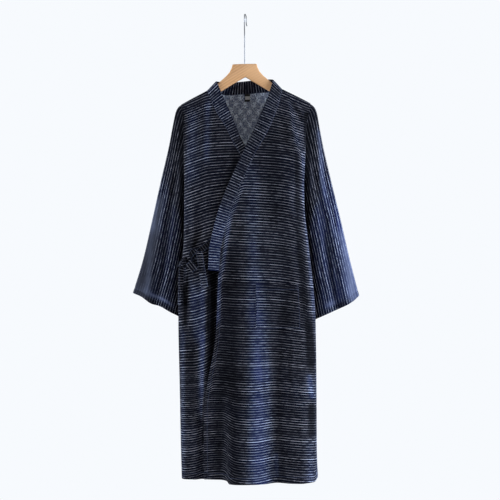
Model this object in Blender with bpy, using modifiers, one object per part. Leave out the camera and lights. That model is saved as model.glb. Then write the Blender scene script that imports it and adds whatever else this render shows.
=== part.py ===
"""Cross-over kimono robe hanging on a wooden hanger, cut and sewn from separate pieces of cloth.

Sizes are in millimetres and are turned into metres where the meshes are made. X runs to the
viewer's right, Y away from the viewer and Z up. The origin is the point of the hook that lies
on a rail. The left front (on the viewer's right) is the outer one, and laps over the right front.
"""

import math
from collections import namedtuple

import bmesh
import bpy
from mathutils import Matrix, Vector

MM = 0.001

# Walls and gaps
CLOTH = 1.8
COLLAR_CLOTH = 3.0
TIE_CLOTH = 2.2
LABEL_CLOTH = 1.0
SEAM_GAP = 0.4
SIDE_GAP = 0.7
COLLAR_GAP = 0.9
LAYER_GAP = 10.0

# Hanger and hook
HANGER_TILT = math.tan(math.radians(1.2))
HANGER_THICK = 14.0
HANGER_CLEAR = 3.2
HANGER_END = 200.0
HANGER_EDGE = 2.5
COLLAR_CLEAR = 3.5
WIRE_RADIUS = 1.6
HOOK_INNER_RADIUS = 16.5
HOOK_ARC_STEPS = 12
HOOK_TURN = math.radians(16.0)
HOOK_SEAT = -178.0
HOLE_RADIUS = 2.1
HOLE_DEPTH = 40.0

# Heights of the robe
NECK_X = 117.0
NECK_DIP = 13.0
NECK_DIP_SLOPE = 2.2
SHOULDER_Z = -280.0
LEVEL_Z = -450.0
UNDERARM_Z = -528.0
COLLAR_END_Z = -792.0
HEM_Z = -1438.0
UNDER_HEM_RISE = 5.0
BACK_HEM_RISE = 4.0

# How the cloth leaves the shoulder ridge, and how far below it the folds are whole
RIDGE_RADIUS = 9.0
FRONT_GROWTH = 200.0
BACK_GROWTH = 90.0
ROUNDNESS = 3.0
FOLD_START = 60.0
FOLD_FADE = 0.15
FOLD_REACH = 1.6

# The outer front's free edge rolls back below the collar's end
ROLL_DEPTH = 3.0
ROLL_WIDTH = 9.0
ROLL_END_Z = -1180.0
ROLL_FADE = 120.0

FRONT_COLUMNS = 25
INNER_FRONT_COLUMNS = 20
FRONT_EVENNESS = 0.55
SHOULDER_COLUMNS = 5
BACK_EVENNESS = 0.62
POCKET_COLUMNS = (8, 19)
POCKET_ROWS = (16, 21)
SLEEVE_COLUMNS = 24
SLEEVE_ROWS = 13
SLEEVE_SWELL = 0.8
ARMHOLE_BLEND = 6

Ridge = namedtuple("Ridge", "x z")
# The line that the shoulders hang on, from the middle of the neck outwards
RIDGE = (
    Ridge(0, -193),
    Ridge(60, -206),
    Ridge(90, -218),
    Ridge(117, -233),
    Ridge(160, -255),
    Ridge(190, -271),
    Ridge(207, -281),
    Ridge(220, -292),
)

Level = namedtuple("Level", "z left right front back armhole")
# Half widths, half depths and half the opening at the armhole, going down the body
LEVELS = (
    Level(SHOULDER_Z, -208.0, 218.0, 42, 44, 8.0),
    Level(-300, -203.0, 210.0, 44, 45, 14.0),
    Level(-325, -193.0, 196.0, 46, 46, 18.0),
    Level(-355, -188.0, 188.5, 49, 47, 20.0),
    Level(-430, -186.5, 186.5, 53, 49, 20.0),
    Level(-490, -186.5, 184.5, 55, 50, 13.0),
    Level(UNDERARM_Z, -186.5, 183.5, 56, 50, SIDE_GAP / 2),
    Level(-600, -186.5, 185.0, 57, 51, SIDE_GAP / 2),
    Level(-690, -187.5, 195.0, 58, 52, SIDE_GAP / 2),
    Level(-780, -195.0, 205.0, 59, 53, SIDE_GAP / 2),
    Level(-840, -203.0, 212.0, 60, 54, SIDE_GAP / 2),
    Level(-940, -204.5, 219.0, 61, 55, SIDE_GAP / 2),
    Level(-1140, -200.5, 222.0, 63, 58, SIDE_GAP / 2),
    Level(-1340, -196.5, 223.0, 66, 62, SIDE_GAP / 2),
    Level(-1460, -193.0, 227.0, 68, 64, SIDE_GAP / 2),
)

Edge = namedtuple("Edge", "z x")
# Seam between collar and outer front, then that front's free edge
OUTER_EDGE = (
    Edge(-231, 116.0),
    Edge(-265, 106.5),
    Edge(-298, 95.0),
    Edge(-332, 81.5),
    Edge(-385, 56.0),
    Edge(-422, 35.0),
    Edge(-485, 6.0),
    Edge(-578, -34.0),
    Edge(-630, -52.0),
    Edge(-689, -68.0),
    Edge(-731, -75.0),
    Edge(COLLAR_END_Z, -79.0),
    Edge(-846, -83.0),
    Edge(-930, -85.0),
    Edge(-1000, -89.0),
    Edge(-1060, -99.0),
    Edge(-1140, -115.0),
    Edge(-1225, -125.0),
    Edge(-1460, -124.0),
)
# The same for the inner front, hidden from the crossing of the collars downwards
INNER_EDGE = (
    Edge(-236, -116.0),
    Edge(-268, -106.0),
    Edge(-302, -91.5),
    Edge(-337, -68.5),
    Edge(-388, -38.5),
    Edge(-418, -19.0),
    Edge(-470, 8.0),
    Edge(-540, 38.0),
    Edge(-620, 60.0),
    Edge(-700, 72.0),
    Edge(COLLAR_END_Z, 78.0),
    Edge(-1000, 88.0),
    Edge(-1460, 104.0),
)

Width = namedtuple("Width", "z width")
OUTER_COLLAR = (Width(-236, 42), Width(-300, 37), Width(-480, 38), Width(-800, 34))
INNER_COLLAR = (Width(-236, 43), Width(-300, 40), Width(-400, 34), Width(-800, 36))

Turn = namedtuple("Turn", "x lean_x lean_y lean_z width")
# The collar along the back of the neck, from the middle to a shoulder ridge: which way it stands
# from its seam, and its width
NECK_TURNS = (
    Turn(0, 0.00, -0.16, 0.99, 40),
    Turn(30, -0.12, -0.16, 0.98, 40),
    Turn(62, -0.28, -0.16, 0.95, 40),
    Turn(92, -0.48, -0.12, 0.87, 41),
    Turn(109, -0.62, -0.06, 0.78, 42),
    Turn(117, -0.70, 0.00, 0.71, 43),
)
# Points across the collar, as shares of its width
COLLAR_SHARES = (0.0, 0.35, 0.7, 1.0)
# Columns of the back, and stations of the collar, as shares of the way out to NECK_X
NECK_SHARES = (0.0, 0.17, 0.34, 0.5, 0.65, 0.78, 0.88, 0.95, 1.0)
# How far above and below a point the slope of the collar's seam is read
SEAM_REACH = 12.0
# The height at which a front collar begins to stand, and how far below its top that is
STAND_START_Z = -330.0
STAND_RISE = 95.0
STAND = (-0.70, 0.71)

Fold = namedtuple("Fold", "top_x top_z low_x low_z width top low edge")
# Folds: a ridge is positive and stands out of the garment; top and low are its heights at its two
# ends, and a larger edge makes its sides steeper
FRONT_FOLDS = (
    Fold(140, -262, 158, -460, 19, 5.0, 6.0, 2),
    Fold(95, -330, 108, -620, 24, -3.0, -3.0, 2),
    Fold(30, -560, 22, -980, 34, 3.0, 5.0, 2),
    Fold(120, -640, 118, -960, 30, -2.0, -6.0, 2),
    Fold(18, -960, 16, HEM_Z - 60, 42, 4.0, 9.0, 2),
    Fold(96, -930, 100, HEM_Z - 60, 30, -6.0, -23.0, 2),
    Fold(178, -900, 176, HEM_Z - 60, 22, 1.0, 6.0, 2),
    Fold(-98, -1120, -97, HEM_Z - 60, 46, -8.0, -31.0, 6),
    Fold(-20, -1080, -24, HEM_Z - 60, 22, 2.0, 5.0, 2),
)
# Folds that only the inner front has, on the part that the outer front leaves open
INNER_FOLDS = (
    Fold(-124, -275, -130, -420, 15, 5.0, 4.0, 2),
    Fold(-152, -300, -160, -540, 20, 3.0, 5.0, 2),
    Fold(-130, -540, -136, -740, 18, -3.0, -5.0, 2),
    Fold(-112, -800, -112, -1090, 17, 11.0, 7.0, 2),
    Fold(-82, -700, -86, -1130, 20, -14.0, -8.0, 2),
    Fold(-181, -800, -178, -960, 11, -9.0, -4.0, 2),
    Fold(-154, -800, -160, -960, 16, 7.0, 6.0, 2),
    Fold(-152, -1010, -158, HEM_Z - 60, 24, -7.0, -13.0, 2),
)
BACK_FOLDS = (
    Fold(-120, -290, -128, HEM_Z - 60, 26, 5.0, 12.0, 2),
    Fold(-70, -330, -74, HEM_Z - 60, 24, -6.0, -14.0, 2),
    Fold(-8, -420, -14, HEM_Z - 60, 30, 4.0, 11.0, 2),
    Fold(52, -330, 58, HEM_Z - 60, 24, -5.0, -13.0, 2),
    Fold(112, -300, 124, HEM_Z - 60, 28, 6.0, 13.0, 2),
    Fold(165, -560, 172, HEM_Z - 60, 18, -3.0, -7.0, 2),
)

Arm = namedtuple("Arm", "t outer_x outer_z inner_x inner_z half_depth middle_y")
# Sections of each sleeve from the armhole to the cuff: its outer fold, its underarm seam, half its
# depth and where its middle lies
RIGHT_SLEEVE = (
    Arm(0.00, -209.0, -287, -188.2, UNDERARM_Z, 20, 0),
    Arm(0.10, -223.5, -342, -188.8, -572, 19, 8),
    Arm(0.20, -234.0, -400, -186.0, -614, 19, 18),
    Arm(0.40, -261.5, -513, -183.0, -697, 20, 31),
    Arm(0.60, -289.5, -636, -184.5, -779, 21, 38),
    Arm(0.80, -318.0, -757, -188.0, -862, 21, 42),
    Arm(1.00, -350.0, -863, -190.0, -944, 20, 42),
)
LEFT_SLEEVE = (
    Arm(0.00, 219.0, -289, 185.2, UNDERARM_Z, 20, 0),
    Arm(0.10, 233.5, -350, 186.5, -573, 19, 8),
    Arm(0.20, 244.5, -408, 186.5, -617, 19, 18),
    Arm(0.40, 271.5, -519, 191.0, -701, 20, 31),
    Arm(0.60, 301.0, -637, 195.0, -784, 21, 38),
    Arm(0.80, 329.0, -757, 199.0, -868, 21, 42),
    Arm(1.00, 358.5, -871, 204.0, -950, 20, 42),
)

Crease = namedtuple("Crease", "top low width top_height low_height")
# Creases along a sleeve: how far across they lie at the armhole and at the cuff
SLEEVE_CREASES = (
    Crease(0.30, 0.26, 0.10, 2.0, 5.0),
    Crease(0.55, 0.52, 0.09, -4.0, -6.0),
    Crease(0.74, 0.76, 0.08, 2.0, 4.0),
)

Numbered = namedtuple("Numbered", "n value")
Ribbon = namedtuple("Ribbon", "x z lift across_x across_y across_z")
# The ties at the wearer's right side. Lift is how far they lie in front of the inner front
TIE_WIDTH = 21.0
TIE_PATHS = {
    "tie_strap": (
        Ribbon(-92, -695, 8.2, 0.58, 0.0, -0.81),
        Ribbon(-108, -708, 8.2, 0.58, 0.0, -0.81),
        Ribbon(-124, -721, 7.5, 0.60, 0.0, -0.80),
        Ribbon(-141, -734, 7.0, 0.60, 0.0, -0.80),
        Ribbon(-153, -744, 13.6, 0.58, 0.1, -0.81),
        Ribbon(-163, -753, 15.2, 0.56, 0.1, -0.81),
    ),
    "tie_tail_right": (
        Ribbon(-166, -747, 20.1, 0.40, 0.0, -0.91),
        Ribbon(-158, -739, 21.0, 0.55, 0.0, -0.83),
        Ribbon(-150, -734, 20.0, 0.75, 0.0, -0.66),
        Ribbon(-141, -736, 19.0, 0.95, 0.0, -0.30),
        Ribbon(-136, -749, 17.0, 1.00, 0.0, 0.00),
        Ribbon(-132.5, -768, 15.0, 0.99, 0.0, 0.08),
        Ribbon(-127, -800, 13.0, 0.99, 0.0, 0.13),
        Ribbon(-120.5, -840, 14.0, 0.99, 0.0, 0.13),
    ),
    "tie_tail_left": (
        Ribbon(-187, -778.2, 17.0, 0.95, 0.00, -0.30),
        Ribbon(-194, -791, 13.0, 0.98, 0.05, -0.17),
        Ribbon(-199, -808, 9.0, 0.99, 0.05, -0.08),
        Ribbon(-202, -835, 8.5, 0.99, 0.05, -0.03),
        Ribbon(-203, -866, 8.5, 0.99, 0.05, 0.00),
        Ribbon(-204, -896, 8.5, 0.99, 0.05, 0.00),
    ),
    "tie_loop_right": (
        Ribbon(-159.5, -778, 13.0, 0.62, 0.0, -0.78),
        Ribbon(-156.5, -775, 13.0, 0.62, 0.0, -0.78),
        Ribbon(-153, -772, 13.5, 0.62, 0.0, -0.78),
        Ribbon(-152.5, -770.5, 16.0, 0.62, 0.0, -0.78),
        Ribbon(-153.5, -771.5, 20.5, 0.62, 0.0, -0.78),
        Ribbon(-156.5, -776, 22.5, 0.62, 0.0, -0.78),
        Ribbon(-159.0, -778.5, 21.5, 0.62, 0.0, -0.78),
    ),
    "tie_side": (
        Ribbon(-203.0, -773, -1.0, 0.40, 0.0, 0.92),
        Ribbon(-199.0, -771, 7.0, 0.30, 0.0, 0.95),
        Ribbon(-191.0, -766, 17.0, 0.30, 0.0, 0.95),
    ),
}
TIE_WIDTHS = {"tie_loop_right": 33.0, "tie_side": 16.0}
KNOT_CENTRE = (-181.0, -762.0)
KNOT_LIFT = 17.0
KNOT_SIZE = (21.0, 17.0, 29.0)
KNOT_TURN = math.radians(-28.0)
# The ties lie on the inner front as it is up to this close to its side
TIE_LIMIT_X = -188.0
LABEL = ((-2.0, 17.0), (-244.0, -267.0))

Corner = namedtuple("Corner", "x z")
# Half of the hanger's outline: its top, the stations of its arm, its rounded end and its underside
HANGER_TOP = (
    Corner(37.5, -152.5),
    Corner(40.0, -163.0),
    Corner(46.0, -176.0),
    Corner(57.0, -189.0),
    Corner(71.0, -201.0),
    Corner(86.0, -213.5),
)
HANGER_TOP_Z = -152.0
HANGER_STATIONS = (104, 125, 150, 172, 188, HANGER_END - 3)
HANGER_END_DROP = 6.0
HANGER_UNDERSIDE = (
    Corner(HANGER_END - 2, -297.0),
    Corner(HANGER_END - 12, -300.0),
    Corner(150.0, -277.0),
    Corner(110.0, -256.5),
    Corner(74.0, -236.0),
    Corner(36.0, -213.0),
)
HANGER_NOTCH = Corner(2.0, -192.0)

Bend = namedtuple("Bend", "y z")
# The wire before and after its round bend
HOOK_STEM = (
    Bend(0.0, HOOK_SEAT),
    Bend(0.0, -120.0),
    Bend(0.0, -72.0),
    Bend(1.6, -60.0),
    Bend(6.0, -49.0),
    Bend(12.5, -38.0),
    Bend(16.8, -27.5),
)
HOOK_TIP = (Bend(-18.1, -23.0), Bend(-18.8, -29.0), Bend(-21.0, -34.5), Bend(-25.0, -39.0))

Finish = namedtuple("Finish", "colour roughness metallic")
FINISHES = {
    "striped_cloth": Finish((0.012, 0.015, 0.040), 0.85, 0.0),
    "collar_cloth": Finish((0.014, 0.018, 0.050), 0.85, 0.0),
    "beech": Finish((0.62, 0.36, 0.17), 0.45, 0.0),
    "bright_wire": Finish((0.78, 0.78, 0.80), 0.25, 1.0),
    "label_cloth": Finish((0.01, 0.01, 0.01), 0.7, 0.0),
}


def clamp(value, low=0.0, high=1.0):
    return max(low, min(high, value))


def mix(a, b, share):
    return a + (b - a) * share


def ease(share):
    share = clamp(share)
    return share * share * (3.0 - 2.0 * share)


def read(rows, key, value, at):
    """The column called value, read as a smooth curve over the column called key."""
    points = sorted((getattr(row, key), getattr(row, value)) for row in rows)
    if at <= points[0][0]:
        return points[0][1]
    if at >= points[-1][0]:
        return points[-1][1]
    i = next(n for n in range(len(points) - 1) if at <= points[n + 1][0])
    (x0, y0), (x1, y1) = points[i], points[i + 1]
    slope = (y1 - y0) / (x1 - x0)

    def tangent(n):
        if n == 0 or n == len(points) - 1:
            return slope
        (xa, ya), (xb, yb), (xc, yc) = points[n - 1], points[n], points[n + 1]
        before = (yb - ya) / (xb - xa)
        after = (yc - yb) / (xc - xb)
        if before * after <= 0:
            return 0.0
        return 2.0 * before * after / (before + after)

    t = (at - x0) / (x1 - x0)
    h = x1 - x0
    return (
        (2 * t**3 - 3 * t**2 + 1) * y0
        + (t**3 - 2 * t**2 + t) * h * tangent(i)
        + (-2 * t**3 + 3 * t**2) * y1
        + (t**3 - t**2) * h * tangent(i + 1)
    )


def ridge_z(x):
    """Height of the shoulder ridge, with the hanger's slight tilt."""
    return read(RIDGE, "x", "z", abs(x)) + x * HANGER_TILT


def side_x(z, side):
    """The body's edge at a height, on the side -1 (viewer's left) or 1."""
    return read(LEVELS, "z", "left" if side < 0 else "right", z)


def fold_height(folds, x, z):
    """Sum of the folds at a place, positive out of the garment."""
    total = 0.0
    for fold in folds:
        span = fold.low_z - fold.top_z
        share = (z - fold.top_z) / span
        if not -FOLD_FADE < share < 1 + FOLD_FADE:
            continue
        fade = ease((share + FOLD_FADE) / (2 * FOLD_FADE))
        fade *= ease((1 + FOLD_FADE - share) / (2 * FOLD_FADE))
        across = abs(x - mix(fold.top_x, fold.low_x, clamp(share))) / fold.width
        height = mix(fold.top, fold.low, clamp(share))
        total += height * fade * math.exp(-(across**fold.edge))
    return total


def half_depth(x, z, column, growth):
    """How far the cloth stands from the middle plane, from the ridge down."""
    drop = max(ridge_z(x) - z, 0.0)
    turn = 1.0 - min(drop / RIDGE_RADIUS, 1.0)
    rounded = RIDGE_RADIUS * math.sqrt(max(1.0 - turn * turn, 0.0))
    full = read(LEVELS, "z", column, z) - RIDGE_RADIUS
    return max(rounded + full * math.sin(clamp(drop / growth) * math.pi / 2), SIDE_GAP / 2)


def wall_y(x, z, column, growth, layer, folds):
    """Distance of a front or back wall from the middle plane at a place."""
    depth = half_depth(x, z, column, growth)
    across = clamp(abs(x / side_x(z, -1 if x < 0 else 1)))
    bulge = (1.0 - across**ROUNDNESS) ** (1.0 / ROUNDNESS)
    edge = min(read(LEVELS, "z", "armhole", z), depth)
    free = ease((ridge_z(x) - z) / FOLD_START)
    depth = max(depth - layer * free, edge)
    folded = fold_height(folds, x, z) * free * min(1.0, FOLD_REACH * bulge)
    return edge + (depth - edge) * bulge + folded


def outer_front_y(x, z):
    """The outer front, whose free edge rolls back a little."""
    y = wall_y(x, z, "front", FRONT_GROWTH, 0.0, FRONT_FOLDS)
    window = ease((COLLAR_END_Z - z) / ROLL_FADE) * ease((z - ROLL_END_Z) / ROLL_FADE)
    inward = max(x - read(OUTER_EDGE, "z", "x", z), 0.0)
    return -(y - ROLL_DEPTH * window * math.exp(-inward / ROLL_WIDTH))


def inner_front_y(x, z):
    """The inner front, one layer further in."""
    folds = FRONT_FOLDS + INNER_FOLDS
    return -wall_y(x, z, "front", FRONT_GROWTH, LAYER_GAP, folds)


def back_y(x, z):
    return wall_y(x, z, "back", BACK_GROWTH, 0.0, BACK_FOLDS)


def finish(obj, kind):
    """Gives an object its material and its place in the robe's collection."""
    material = bpy.data.materials.get(kind)
    if material is None:
        look = FINISHES[kind]
        material = bpy.data.materials.new(kind)
        material.use_nodes = True
        shader = material.node_tree.nodes["Principled BSDF"]
        shader.inputs["Base Color"].default_value = (*look.colour, 1.0)
        shader.inputs["Roughness"].default_value = look.roughness
        shader.inputs["Metallic"].default_value = look.metallic
    obj.data.materials.clear()
    obj.data.materials.append(material)
    return obj


def new_object(name, data, collection):
    obj = bpy.data.objects.new(name, data)
    bpy.data.collections[collection].objects.link(obj)
    return obj


def cloth(name, columns, rows, place, thickness, kind, round_tube=False):
    """A grid of cloth whose corners place(u, v) puts in millimetres, given its wall by Solidify.

    u runs across and v down, both from 0 to 1. A round tube has its two long edges joined.
    """
    shape = bmesh.new()
    bmesh.ops.create_grid(shape, x_segments=columns, y_segments=rows, size=0.5)
    for vertex in shape.verts:
        u = vertex.co.x + 0.5
        v = 0.5 - vertex.co.y
        vertex.co = Vector(place(u, v)) * MM
    if round_tube:
        bmesh.ops.remove_doubles(shape, verts=shape.verts, dist=0.00001)
    mesh = bpy.data.meshes.new(name)
    shape.to_mesh(mesh)
    shape.free()
    mesh.shade_smooth()
    obj = finish(new_object(name, mesh, "kimono"), kind)
    wall = obj.modifiers.new("wall", "SOLIDIFY")
    wall.thickness = thickness * MM
    wall.offset = 0.0
    return obj


PANEL_ROWS = (
    *(0.0, 0.007, 0.028, 0.075, 0.16, 0.32, 0.52, 0.76, 1.0),
    *(-490.0, UNDERARM_Z, -575.0, -630.0, -685.0, -740.0, COLLAR_END_Z, -831.0, -859.0, -887.0),
    *(-915.0, -943.0, -972.0, -1030.0, -1090.0, -1150.0, -1210.0, -1270.0, -1330.0, -1385.0),
)


def row_height(row, top, hem):
    """A row is a share of the way down to LEVEL_Z while it is positive, or else a height."""
    rows = PANEL_ROWS + (hem,)
    value = rows[row]
    return mix(top, LEVEL_Z, value) if value >= 0 else value


def panel_rows():
    return len(PANEL_ROWS)


def front_point(u, v, side, edge_rows, hem, depth_at):
    """A point of a front panel: u runs from its front edge to its side, v from shoulder to hem."""
    row = round(v * panel_rows())
    across = mix(math.sin(u * math.pi / 2), u, FRONT_EVENNESS)
    neck = side * (NECK_X + SEAM_GAP)
    shoulder = side_x(SHOULDER_Z, side)
    top = ridge_z(mix(neck, shoulder, across))
    z = row_height(row, top, hem)
    edge = read(edge_rows, "z", "x", z) + side * 2 * SEAM_GAP
    x = mix(edge, side_x(z, side), across)
    if row == 0:
        x = mix(neck, shoulder, across)
        z = top
    return x, depth_at(x, z), z


def make_outer_front():
    cloth(
        "left_front",
        FRONT_COLUMNS,
        panel_rows(),
        lambda u, v: front_point(u, v, 1, OUTER_EDGE, HEM_Z, outer_front_y),
        CLOTH,
        "striped_cloth",
    )


def make_inner_front():
    cloth(
        "right_front",
        INNER_FRONT_COLUMNS,
        panel_rows(),
        lambda u, v: front_point(u, v, -1, INNER_EDGE, HEM_Z + UNDER_HEM_RISE, inner_front_y),
        CLOTH,
        "striped_cloth",
    )


def neckline_z(x):
    """Top edge of the back: the shoulder ridge, and a shallow dip across the neck."""
    if abs(x) >= NECK_X:
        return ridge_z(x)
    dip = NECK_DIP * ease(NECK_DIP_SLOPE * (1.0 - abs(x) / NECK_X))
    return read(RIDGE, "x", "z", NECK_X) + x * HANGER_TILT - dip


def back_point(u, v):
    """A point of the back: u runs from the viewer's left side to the right, v down."""
    row = round(v * panel_rows())
    half = len(NECK_SHARES) - 1 + SHOULDER_COLUMNS
    column = round(abs(2 * u - 1) * half)
    side = -1 if u < 0.5 else 1
    shoulder = abs(side_x(SHOULDER_Z, side))
    if column < len(NECK_SHARES):
        x_top = NECK_SHARES[column] * NECK_X
    else:
        x_top = mix(NECK_X, shoulder, (column - len(NECK_SHARES) + 1) / SHOULDER_COLUMNS)
    even = column / half
    even = mix(math.sin(even * math.pi / 2), even, BACK_EVENNESS)
    top = neckline_z(side * x_top)
    z = row_height(row, top, HEM_Z + BACK_HEM_RISE)
    level = clamp((top - z) / (top - LEVEL_Z))
    share = mix(x_top / shoulder, even, ease(level * 1.5))
    x = side * x_top if row == 0 else side * share * abs(side_x(z, side))
    return x, back_y(x, z), z


def make_back():
    columns = 2 * (len(NECK_SHARES) - 1 + SHOULDER_COLUMNS)
    cloth("back", columns, panel_rows(), back_point, CLOTH, "striped_cloth")


def make_pocket():
    """The patch pocket: the outer front's own points, moved out."""
    first, last = POCKET_COLUMNS
    upper, lower = POCKET_ROWS
    out = CLOTH + 2 * SEAM_GAP

    def place(u, v):
        panel_u = mix(first, last, u) / FRONT_COLUMNS
        panel_v = mix(upper, lower, v) / panel_rows()
        x, y, z = front_point(panel_u, panel_v, 1, OUTER_EDGE, HEM_Z, outer_front_y)
        step = 1.0
        slope_x = (outer_front_y(x + step, z) - outer_front_y(x - step, z)) / (2 * step)
        slope_z = (outer_front_y(x, z + step) - outer_front_y(x, z - step)) / (2 * step)
        normal = Vector((slope_x, -1.0, slope_z)).normalized()
        return Vector((x, y, z)) + normal * out

    cloth("pocket", last - first, lower - upper, place, CLOTH, "striped_cloth")


def front_collar_row(row, side):
    """Points across the collar beside a row of a front, on its panel and before the hanger."""
    edge_rows, widths = (OUTER_EDGE, OUTER_COLLAR) if side > 0 else (INNER_EDGE, INNER_COLLAR)
    depth_at = outer_front_y if side > 0 else inner_front_y
    edge = Vector(front_point(0.0, row / panel_rows(), side, edge_rows, HEM_Z, depth_at))
    above = read(edge_rows, "z", "x", edge.z + SEAM_REACH)
    below = read(edge_rows, "z", "x", edge.z - SEAM_REACH)
    slope = (above - below) / (2 * SEAM_REACH)
    lean = Vector((-side, 0.0, side * slope)).normalized()
    stand = Vector((STAND[0] * side, 0.0, STAND[1]))
    lean = lean.lerp(stand, ease((edge.z - STAND_START_Z) / STAND_RISE)).normalized()
    seam = edge + lean * COLLAR_GAP
    points = []
    for share in COLLAR_SHARES:
        point = seam + lean * read(widths, "z", "width", edge.z) * share
        if share:
            clear = -HANGER_THICK / 2 - COLLAR_CLEAR
            point.y = min(depth_at(point.x, point.z), mix(seam.y, clear, share))
        points.append(point)
    return points


def neck_collar_row(x):
    """Points across the collar above the back's top edge, or above a shoulder ridge."""
    values = {c: read(NECK_TURNS, "x", c, abs(x)) for c in NECK_TURNS[0]._fields}
    lean = Vector((math.copysign(values["lean_x"], -x), values["lean_y"], values["lean_z"]))
    lean.normalize()
    z = neckline_z(x)
    seam = Vector((x, 0.0 if abs(x) == NECK_X else back_y(x, z), z)) + lean * COLLAR_GAP
    return [seam + lean * values["width"] * share for share in COLLAR_SHARES]


def collar_rows():
    """The collar from the outer front's end of it, round the neck, to the inner front's end."""
    front = range(1, PANEL_ROWS.index(COLLAR_END_Z) + 1)
    neck = [share * NECK_X for share in NECK_SHARES]
    rows = [front_collar_row(row, 1) for row in reversed(front)]
    rows += [neck_collar_row(x) for x in reversed(neck)]
    rows += [neck_collar_row(-x) for x in neck[1:]]
    rows += [front_collar_row(row, -1) for row in front]
    return rows


def make_collar():
    rows = collar_rows()
    columns = len(COLLAR_SHARES) - 1
    last = len(rows) - 1
    cloth(
        "collar",
        columns,
        last,
        lambda u, v: rows[round(v * last)][round(u * columns)],
        COLLAR_CLOTH,
        "collar_cloth",
    )


def armhole_depth(z, side):
    """Half the opening at a height of the armhole, on the body's edge."""
    return min(read(LEVELS, "z", "armhole", z), half_depth(side_x(z, side), z, "front", FRONT_GROWTH))


def sleeve_point(u, v, side, rows):
    """u runs round the sleeve from its underarm seam over the front, v from armhole to cuff."""
    across = 0.5 + 0.5 * math.cos(2 * math.pi * u)
    swell = abs(math.sin(2 * math.pi * u))
    front = u < 0.5
    arm = {column: read(rows, "t", column, v) for column in rows[0]._fields}
    x = mix(arm["outer_x"], arm["inner_x"], across)
    z = mix(arm["outer_z"], arm["inner_z"], across)
    depth = arm["half_depth"] * swell**SLEEVE_SWELL
    for crease in SLEEVE_CREASES:
        middle = mix(crease.top, crease.low, v)
        off = (1 - across - (middle if front else 1 - middle)) / crease.width
        depth += mix(crease.top_height, crease.low_height, v) * swell * math.exp(-(off**2))
    joined = (1 - v) ** ARMHOLE_BLEND
    seam_z = mix(rows[0].outer_z, UNDERARM_Z, across)
    seam_x = side_x(seam_z, side) + side * (CLOTH / 2 + 3 * SEAM_GAP)
    x += (seam_x - mix(rows[0].outer_x, rows[0].inner_x, across)) * joined
    depth = mix(depth, armhole_depth(seam_z, side) * ease(swell * 3), joined)
    return x, arm["middle_y"] + (-depth if front else depth), z


def make_sleeves():
    for name, side, rows in (("right_sleeve", -1, RIGHT_SLEEVE), ("left_sleeve", 1, LEFT_SLEEVE)):
        cloth(
            name,
            SLEEVE_COLUMNS,
            SLEEVE_ROWS,
            lambda u, v, side=side, rows=rows: sleeve_point(u, v, side, rows),
            CLOTH,
            "striped_cloth",
            round_tube=True,
        )


def make_label():
    """A plain woven loop sewn under the collar at the back of the neck."""
    (left, right), (top, low) = LABEL

    def place(u, v):
        x = mix(left, right, u)
        z = mix(top, low, v)
        return x, back_y(x, z) - CLOTH - 2 * SEAM_GAP, z

    cloth("label", 2, 2, place, LABEL_CLOTH, "label_cloth")


def make_ties():
    """The two ties, in front of the inner front."""

    def ribbon(rows, width):
        def place(u, v):
            key = v * (len(rows) - 1)
            values = []
            for column in rows[0]._fields:
                numbered = [Numbered(n, getattr(row, column)) for n, row in enumerate(rows)]
                values.append(read(numbered, "n", "value", key))
            x, z, lift, across_x, across_y, across_z = values
            across = Vector((across_x, across_y, across_z)).normalized() * (u - 0.5) * width
            x, z = x + across.x, z + across.z
            return x, inner_front_y(max(x, TIE_LIMIT_X), z) - lift + across.y, z

        return place

    for name, rows in TIE_PATHS.items():
        place = ribbon(rows, TIE_WIDTHS.get(name, TIE_WIDTH))
        cloth(name, 2, 2 * (len(rows) - 1), place, TIE_CLOTH, "collar_cloth")


def make_knot():
    x, z = KNOT_CENTRE
    shape = bmesh.new()
    bmesh.ops.create_uvsphere(shape, u_segments=12, v_segments=8, radius=0.5)
    for vertex in shape.verts:
        vertex.co = Vector(c * size * MM for c, size in zip(vertex.co, KNOT_SIZE))
    mesh = bpy.data.meshes.new("tie_knot")
    shape.to_mesh(mesh)
    shape.free()
    mesh.shade_smooth()
    knot = finish(new_object("tie_knot", mesh, "kimono"), "collar_cloth")
    knot.location = Vector((x, inner_front_y(x, z) - KNOT_LIFT, z)) * MM
    knot.rotation_euler = (0.0, KNOT_TURN, 0.0)


def hanger_outline():
    """Half of the hanger's outline, from the middle of its top to its end and back below."""
    drop = CLOTH / 2 + HANGER_CLEAR
    arm = [Corner(x, read(RIDGE, "x", "z", x) - drop) for x in HANGER_STATIONS]
    end = Corner(HANGER_END, read(RIDGE, "x", "z", HANGER_END) - drop - HANGER_END_DROP)
    return [*HANGER_TOP, *arm, end, *HANGER_UNDERSIDE]


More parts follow.
